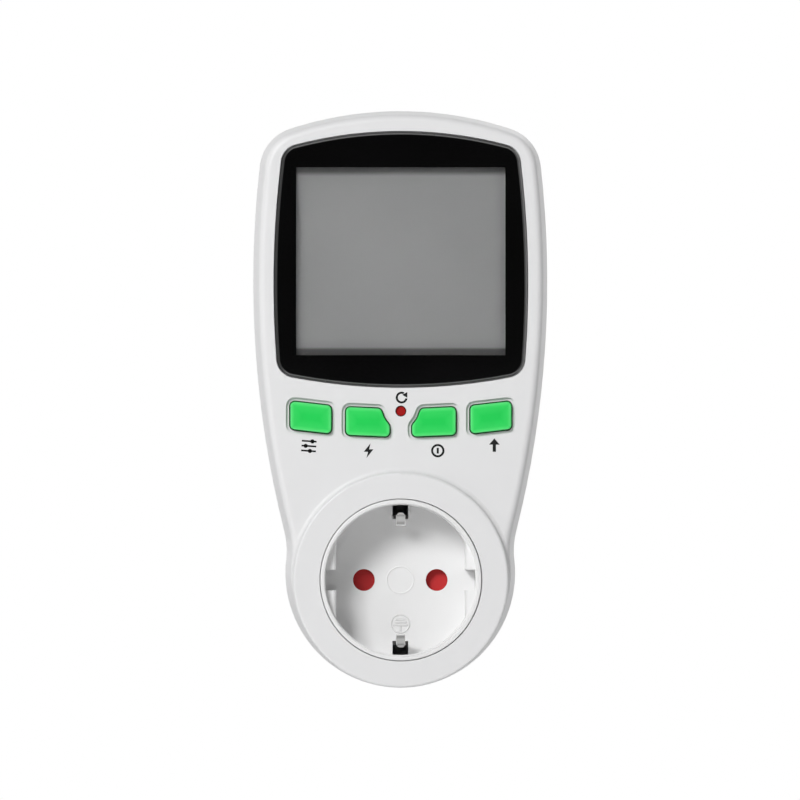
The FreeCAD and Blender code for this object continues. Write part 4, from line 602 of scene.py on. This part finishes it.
def filled(loops):
    """The mesh of a plate of ink between loops in millimetres, lying in the XY plane."""
    curve = bpy.data.curves.new("outline", "CURVE")
    curve.dimensions = "2D"
    curve.fill_mode = "BOTH"
    curve.extrude = INK_THICK / 2
    for loop in loops:
        spline = curve.splines.new("POLY")
        spline.points.add(len(loop) - 1)
        for point, (x, z) in zip(spline.points, loop):
            point.co = (x * SIGN_SCALE * MM, z * SIGN_SCALE * MM, 0.0, 1.0)
        spline.use_cyclic_u = True
    shape = bpy.data.objects.new("outline", curve)
    bpy.context.collection.objects.link(shape)
    mesh = bpy.data.meshes.new_from_object(shape.evaluated_get(bpy.context.evaluated_depsgraph_get()))
    bpy.data.objects.remove(shape)
    return mesh


def ink_piece(name, groups, x, z, tilt):
    """Plates of ink on the face, round a middle and tilted by an angle in degrees."""
    whole = bmesh.new()
    for loops in groups:
        whole.from_mesh(filled(loops))
    mesh = bpy.data.meshes.new(name)
    whole.to_mesh(mesh)
    whole.free()
    place = Matrix.Translation((x * MM, FACE_LEVEL - INK_THICK / 2, z * MM))
    upright = Matrix.Rotation(math.radians(90), 4, "X")
    mesh.transform(place @ upright @ Matrix.Rotation(math.radians(tilt), 4, "Z"))
    piece = bpy.data.objects.new(name, mesh)
    bpy.context.collection.objects.link(piece)
    return piece


def build_signs(ink):
    """Ink signs on the face, one below each key and one above the reset button."""
    for name, (shape, x, z, tilt) in SIGNS.items():
        sign = ink_piece(name, shape(), x, z, tilt)
        sign.data.materials.append(ink)
        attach(sign, "housing")


# Light, floor and camera


def area_light(name, place, target, size, power):
    """A soft square light that faces a target."""
    data = bpy.data.lights.new(name, "AREA")
    data.shape = "SQUARE"
    data.size = size
    data.energy = power
    light = bpy.data.objects.new(name, data)
    bpy.context.collection.objects.link(light)
    light.location = place
    light.rotation_euler = (Vector(target) - Vector(place)).to_track_quat("-Z", "Y").to_euler()


def build_world():
    """White behind the object and in reflections, and a soft grey room that is dark in front."""
    world = bpy.data.worlds.new("studio")
    bpy.context.scene.world = world
    world.use_nodes = True
    tree = world.node_tree
    tree.nodes.clear()
    seen = tree.nodes.new("ShaderNodeBackground")
    seen.inputs["Color"].default_value = (1, 1, 1, 1)
    seen.inputs["Strength"].default_value = 1.0
    direction = tree.nodes.new("ShaderNodeSeparateXYZ")
    tree.links.new(tree.nodes.new("ShaderNodeTexCoord").outputs["Generated"], direction.inputs["Vector"])
    across = math_node(tree, "ABSOLUTE", direction.outputs["X"])
    light = blended(tree, direction.outputs["Y"], (-DARK_FRONT_INNER, -DARK_FRONT_OUTER),
                    (DARK_FRONT, ROOM_LIGHT))
    for value, span, ends in ((direction.outputs["Z"], (-1, 1), (LIGHT_FROM_BELOW, LIGHT_FROM_ABOVE)),
                              (across, (0, 1), (1.0, LIGHT_FROM_SIDES)),
                              (direction.outputs["Y"], (0, 1), (1.0, LIGHT_FROM_BEHIND))):
        light = math_node(tree, "MULTIPLY", light, blended(tree, value, span, ends))
    mirrored = blended(tree, direction.outputs["Y"], (-DARK_FRONT_INNER, -DARK_FRONT_OUTER),
                       (DARK_FRONT, 1.0))
    path = tree.nodes.new("ShaderNodeLightPath")
    glossy = math_node(tree, "MAXIMUM", path.outputs["Is Glossy Ray"], path.outputs["Is Transmission Ray"])
    more = math_node(tree, "MULTIPLY", math_node(tree, "SUBTRACT", mirrored, light), glossy)
    around = tree.nodes.new("ShaderNodeBackground")
    around.inputs["Color"].default_value = (1, 1, 1, 1)
    tree.links.new(math_node(tree, "ADD", light, more), around.inputs["Strength"])
    mix = tree.nodes.new("ShaderNodeMixShader")
    tree.links.new(path.outputs["Is Camera Ray"], mix.inputs["Fac"])
    tree.links.new(around.outputs["Background"], mix.inputs[1])
    tree.links.new(seen.outputs["Background"], mix.inputs[2])
    out = tree.nodes.new("ShaderNodeOutputWorld")
    tree.links.new(mix.outputs["Shader"], out.inputs["Surface"])


def floor_material():
    """Pale matt paper, lifted towards white where the camera or a reflection sees it."""
    material, tree, shader = new_material("floor_pale")
    cloud = noise(tree, 0.6)
    tree.links.new(ramp(tree, cloud, [(0.3, 0.925), (0.7, 0.935)]), shader.inputs["Base Color"])
    shader.inputs["Roughness"].default_value = 0.8
    path = tree.nodes.new("ShaderNodeLightPath")
    seen = path.outputs["Is Camera Ray"]
    for kind in ("Is Glossy Ray", "Is Transmission Ray"):
        seen = math_node(tree, "MAXIMUM", seen, path.outputs[kind])
    shader.inputs["Emission Color"].default_value = (1, 1, 1, 1)
    tree.links.new(math_node(tree, "MULTIPLY", seen, FLOOR_LIFT), shader.inputs["Emission Strength"])
    return material


def build_floor():
    """A plain pale floor well below the object, which is held up by the wall socket."""
    bpy.ops.mesh.primitive_plane_add(size=FLOOR_SIZE, location=(0, 0, FLOOR_LEVEL))
    floor = bpy.context.object
    floor.name = "floor"
    floor.data.materials.append(floor_material())


def build_lights():
    """A large key light from the upper left, and a weak one behind for the back of the object."""
    middle = (0, CASE_MIDDLE, VIEW_MIDDLE[1])
    area_light("key_light", KEY_PLACE, middle, KEY_SIZE, KEY_POWER)
    area_light("back_light", BACK_PLACE, middle, BACK_SIZE, BACK_POWER)


def build_camera():
    """A distant camera in front, a little to the left and low, as in the photograph."""
    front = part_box("front_case")[0].y
    data = bpy.data.cameras.new("camera")
    data.sensor_width = SENSOR_WIDTH
    data.lens = SENSOR_WIDTH * CAMERA_DISTANCE / VIEW_WIDTH
    data.clip_end = 10 * CAMERA_DISTANCE
    camera = bpy.data.objects.new("camera", data)
    bpy.context.collection.objects.link(camera)
    camera.location = (CAMERA_SIDE, front - CAMERA_DISTANCE, CAMERA_HEIGHT)
    target = Vector((VIEW_MIDDLE[0], front, VIEW_MIDDLE[1]))
    camera.rotation_euler = (target - camera.location).to_track_quat("-Z", "Y").to_euler()
    bpy.context.scene.camera = camera


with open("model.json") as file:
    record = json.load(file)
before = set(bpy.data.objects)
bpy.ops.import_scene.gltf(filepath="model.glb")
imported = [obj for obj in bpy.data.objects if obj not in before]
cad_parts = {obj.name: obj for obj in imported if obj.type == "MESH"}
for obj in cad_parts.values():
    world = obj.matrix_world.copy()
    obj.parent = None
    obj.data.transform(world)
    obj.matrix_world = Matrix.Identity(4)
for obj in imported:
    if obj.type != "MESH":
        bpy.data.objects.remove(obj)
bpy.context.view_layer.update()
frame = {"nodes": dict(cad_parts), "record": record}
bpy.context.scene.view_settings.view_transform = "Standard"
materials = make_materials()
dress_solids(frame, materials)
build_signs(materials["sign_ink"])
build_world()
build_floor()
build_lights()
build_camera()
